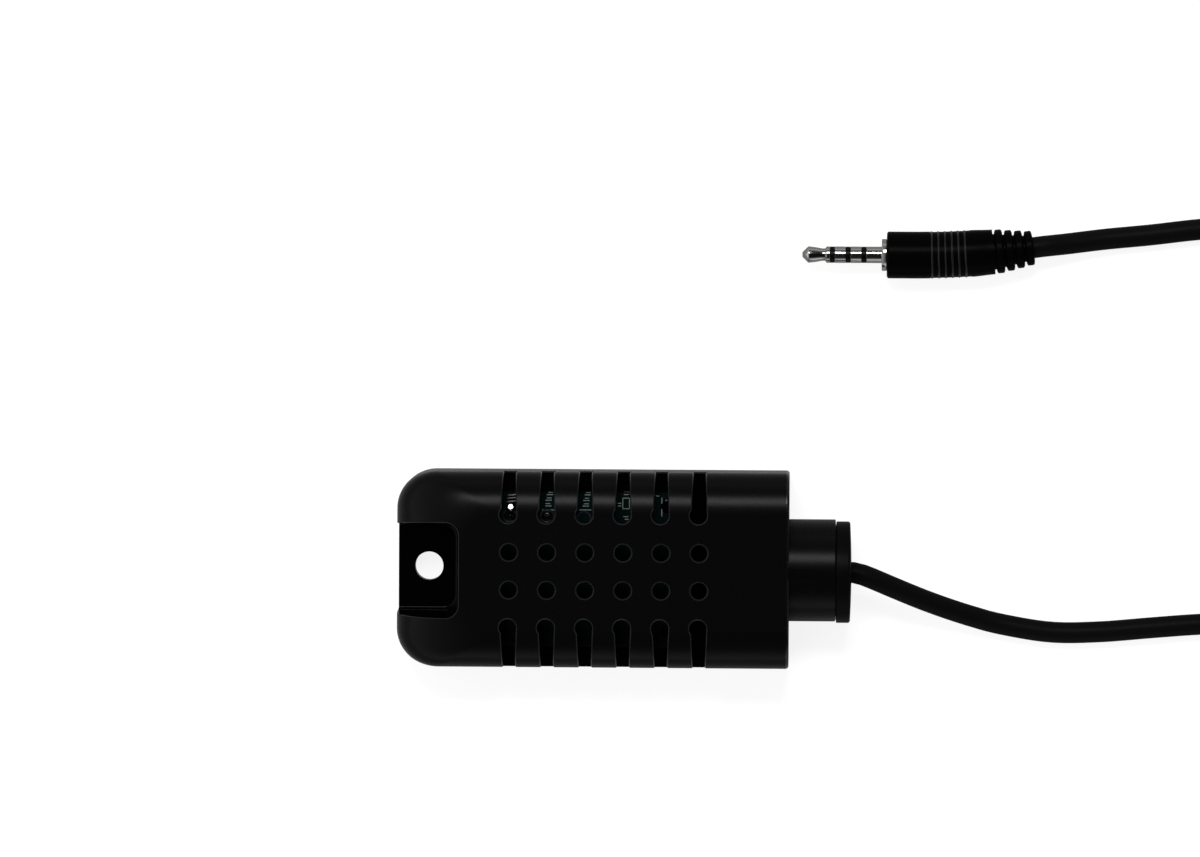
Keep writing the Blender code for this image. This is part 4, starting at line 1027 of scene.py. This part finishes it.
wires = dict(
    colors=("red", "white", "yellow", "black"), radius=0.55,
    start=(18.1, 16.7), spread=0.8, axis=(-0.25, 7.75),
    bundleX=(13.4, 10.6, 8.4),        # on the way down, and level under the board's end
    bundleY=0.62, bundleShift=-0.5, bundleZ=(3.7, 4.85),  # two above two
    leave=8, sag=0.1,                 # where a wire leaves the bundle, before its joint's X
    turn=((4, 2.6), (1.2, 6.3, 4.3)),  # then sideways to the joint: X from it, Y, Z
    rise=((0.3, 4.9), (0.1, 5.35)),   # and up into it: X and Y from it, Z
)


def addWires(w):
    # four conductors leave the sheath as a square, pass under the board's end and turn off
    # one by one to their joints
    y, z = w["axis"]
    down, level, on = w["bundleX"]
    (early, earlyY), (late, lateY, lateZ) = w["turn"]
    for number, (padX, padY) in enumerate(marks["joints"]):
        right, above = (1 if number > 1 else -1), (1 if number in (0, 3) else 0)
        lane, low = right * w["bundleY"] + w["bundleShift"], w["bundleZ"][above]
        startY, startZ = y + right * w["spread"], z + (2 * above - 1) * w["spread"]
        route = [*((x, startY, startZ) for x in w["start"]), (down, lane, (startZ + low) / 2),
                 (level, lane, low), (on, lane, low), (padX + w["leave"], lane, low),
                 (padX + early, earlyY, low - w["sag"]), (padX + late, lateY, lateZ),
                 *((padX + off, padY - off, height) for off, height in w["rise"])]
        path = smoothRoute(route, 0.5)
        mesh = solid("wire", sweepGrid(path, roundSections(np.full(len(path), w["radius"]), 20)))
        color = w["colors"][number]
        addPiece(f"wire{number + 1}", mesh, wireColors[color], 60, f"wire_{color}",
                 [f"wire_{number + 1}"])


addWires(wires)
print("board dressed")

# Strap round the coil
strap = dict(
    x=134.9, y=16.1, width=6.0, edge=0.12, half=6.8, thickness=0.7, corner=2.0, rise=7.25,
)
strapWeave = newMaterial(              # hook and loop tape: matte woven pile
    "woven black tape", "#0c0c0d", 0.85, IOR=1.5, Sheen_Weight=0.12)


def addWeave(material, pitch, depth):
    # waves of the thread's pitch along all three axes as a bump, with fibre noise in it; a
    # wave texture repeats 0.31 of a metre apart at scale 1
    tree = material.node_tree
    place = addNode(tree, "ShaderNodeTexCoord")
    noise = addNode(tree, "ShaderNodeTexNoise", inputs={
        "Vector": place.outputs["Object"], "Scale": 1 / (0.25 * mm), "Detail": 4.0})
    waves = [addNode(tree, "ShaderNodeTexWave", {"bands_direction": axis}, {
        "Vector": place.outputs["Object"], "Scale": 0.31 / (pitch * mm), "Distortion": 1.0,
        "Detail": 1.0}) for axis in ("X", "Y", "Z")]
    pair = addNode(tree, "ShaderNodeMath", {"operation": "ADD"},
                   {0: waves[0].outputs["Fac"], 1: waves[1].outputs["Fac"]})
    crossed = addNode(tree, "ShaderNodeMath", {"operation": "ADD"},
                      {0: pair.outputs[0], 1: waves[2].outputs["Fac"]})
    mixed = addNode(tree, "ShaderNodeMath", {"operation": "MULTIPLY_ADD"},
                    {0: noise.outputs["Fac"], 1: 1.2, 2: crossed.outputs[0]})
    bump = addNode(tree, "ShaderNodeBump", inputs={
        "Strength": 0.8, "Distance": depth * mm, "Height": mixed.outputs[0]})
    tree.links.new(bump.outputs["Normal"], tree.nodes["Principled BSDF"].inputs["Normal"])


def addStrap(s):
    # a rounded square round the bundle, carried across the tape's width with soft edges
    reach = s["half"] - s["corner"]
    middle = np.vstack([arc((u * reach, v * reach), s["corner"], start, start + 90, 10)
                        for u, v, start in ((1, 1, 0), (-1, 1, 90), (-1, -1, 180), (1, -1, 270))])
    along = unit(np.roll(middle, -1, axis=0) - np.roll(middle, 1, axis=0))
    outward = np.column_stack([along[:, 1], -along[:, 0]])
    t, w, edge = s["thickness"] / 2, s["width"] / 2, s["edge"]
    grid = []
    for across, out in ((-w, 0), (edge - w, t), (-w / 2, t), (0, t), (w / 2, t), (w - edge, t),
                        (w, 0), (w - edge, -t), (edge - w, -t)):
        ring = middle + outward * out
        grid.append(np.column_stack([s["x"] + ring[:, 0], np.full(len(ring), s["y"] + across),
                                     s["rise"] + ring[:, 1]]))
    return addPiece("strap", solid("strap", grid, looped=True), strapWeave, 50, "strap",
                    ["coil_strap"])


addWeave(strapWeave, 0.5, 0.12)
band = addStrap(strap)
print("strap made")

# Floor, lamp and room
room = dict(
    floorShade="#e6e6e6", floorGlow=0.85, floorShare=0.26,
    mirrorGlow=0.08, mirrorShare=0.42,  # the same floor as glossy surfaces show it
    key=dict(size=(0.42, 0.25), tilt=31.0, across=-0.04, distance=1.0, power=6.5),
    horizon=1.0, zenith=0.01, low=0.05, high=0.76,  # brightness, and the heights between them
    left=1.9,                          # brightness straight to the left
    front=1.9, frontEdge=(-0.9, -0.1),  # the front wall outshines the others
    floorHalf=3,                       # metres
)


def addFloor(look):
    # the camera sees a white floor that keeps a little of its shadow, and so does a ray
    # through glass; glossy surfaces show it with more of the shadow, and for all other
    # light it is a plain pale surface
    mesh = bpy.data.meshes.new("floor")
    half = look["floorHalf"]
    mesh.from_pydata([(-half, -half, 0), (half, -half, 0), (half, half, 0), (-half, half, 0)],
                     [], [(0, 1, 2, 3)])
    material = bpy.data.materials.new("pale studio floor")
    material.use_nodes = True
    tree = material.node_tree
    tree.nodes.remove(tree.nodes["Principled BSDF"])
    output = tree.nodes["Material Output"]
    plain = addNode(tree, "ShaderNodeBsdfDiffuse", inputs={"Color": linear(look["floorShade"])})
    whites = []
    for glow, share in ((look["floorGlow"], look["floorShare"]),
                        (look["mirrorGlow"], look["mirrorShare"])):
        dim = addNode(tree, "ShaderNodeBsdfDiffuse", inputs={"Color": (share,) * 3 + (1.0,)})
        lit = addNode(tree, "ShaderNodeEmission", inputs={"Strength": glow})
        whites.append(addNode(tree, "ShaderNodeAddShader", inputs={
            0: dim.outputs[0], 1: lit.outputs[0]}))
    ray = addNode(tree, "ShaderNodeLightPath")
    seen = addNode(tree, "ShaderNodeMath", {"operation": "MAXIMUM"}, {
        0: ray.outputs["Is Camera Ray"], 1: ray.outputs["Is Transmission Ray"]})
    mirrored = addNode(tree, "ShaderNodeMixShader", inputs={
        0: ray.outputs["Is Glossy Ray"], 1: plain.outputs[0], 2: whites[1].outputs[0]})
    choice = addNode(tree, "ShaderNodeMixShader", inputs={
        0: seen.outputs[0], 1: mirrored.outputs[0], 2: whites[0].outputs[0]})
    tree.links.new(choice.outputs[0], output.inputs["Surface"])
    floor = addPiece("floor", mesh, material)


def addKeyLamp(look):
    # a soft box over the head, which leans back and faces it
    data = bpy.data.lights.new("key", "AREA")
    data.shape = "RECTANGLE"
    data.size, data.size_y = look["size"]
    data.energy = look["power"]
    lean = radians(look["tilt"])
    place = (look["across"], look["distance"] * sin(lean), look["distance"] * cos(lean))
    lamp = bpy.data.objects.new("key", data)
    lamp.matrix_world = Matrix.Translation(place) @ Matrix.Rotation(-lean, 4, "X")
    bpy.context.scene.collection.objects.link(lamp)


def addRoom(look):
    # a dark ceiling over white walls; the front wall and the left side outshine the rest
    world = bpy.data.worlds.new("room")
    bpy.context.scene.world = world
    world.use_nodes = True
    tree = world.node_tree
    back = tree.nodes["Background"]
    where = addNode(tree, "ShaderNodeTexCoord")
    parts = addNode(tree, "ShaderNodeSeparateXYZ", inputs={0: where.outputs["Generated"]})
    wall = addNode(tree, "ShaderNodeMapRange", {"interpolation_type": "SMOOTHSTEP"}, {
        "Value": parts.outputs["Z"], "From Min": look["low"], "From Max": look["high"],
        "To Min": look["horizon"], "To Max": look["zenith"]})
    front = addNode(tree, "ShaderNodeMapRange", inputs={
        "Value": parts.outputs["Y"], "From Min": look["frontEdge"][0],
        "From Max": look["frontEdge"][1], "To Min": look["front"], "To Max": 1.0})
    walls = addNode(tree, "ShaderNodeMath", {"operation": "MULTIPLY"}, {
        0: wall.outputs[0], 1: front.outputs[0]})
    left = addNode(tree, "ShaderNodeMath", {"operation": "MULTIPLY"}, {
        0: parts.outputs["X"], 1: -look["left"]})
    shade = addNode(tree, "ShaderNodeMath", {"operation": "MAXIMUM"}, {
        0: walls.outputs[0], 1: left.outputs[0]})
    tree.links.new(shade.outputs[0], back.inputs["Strength"])
    back.inputs["Color"].default_value = (1, 1, 1, 1)


bpy.context.scene.view_settings.view_transform = "Standard"
addFloor(room)
addKeyLamp(room["key"])
addRoom(room)
print("room lit")
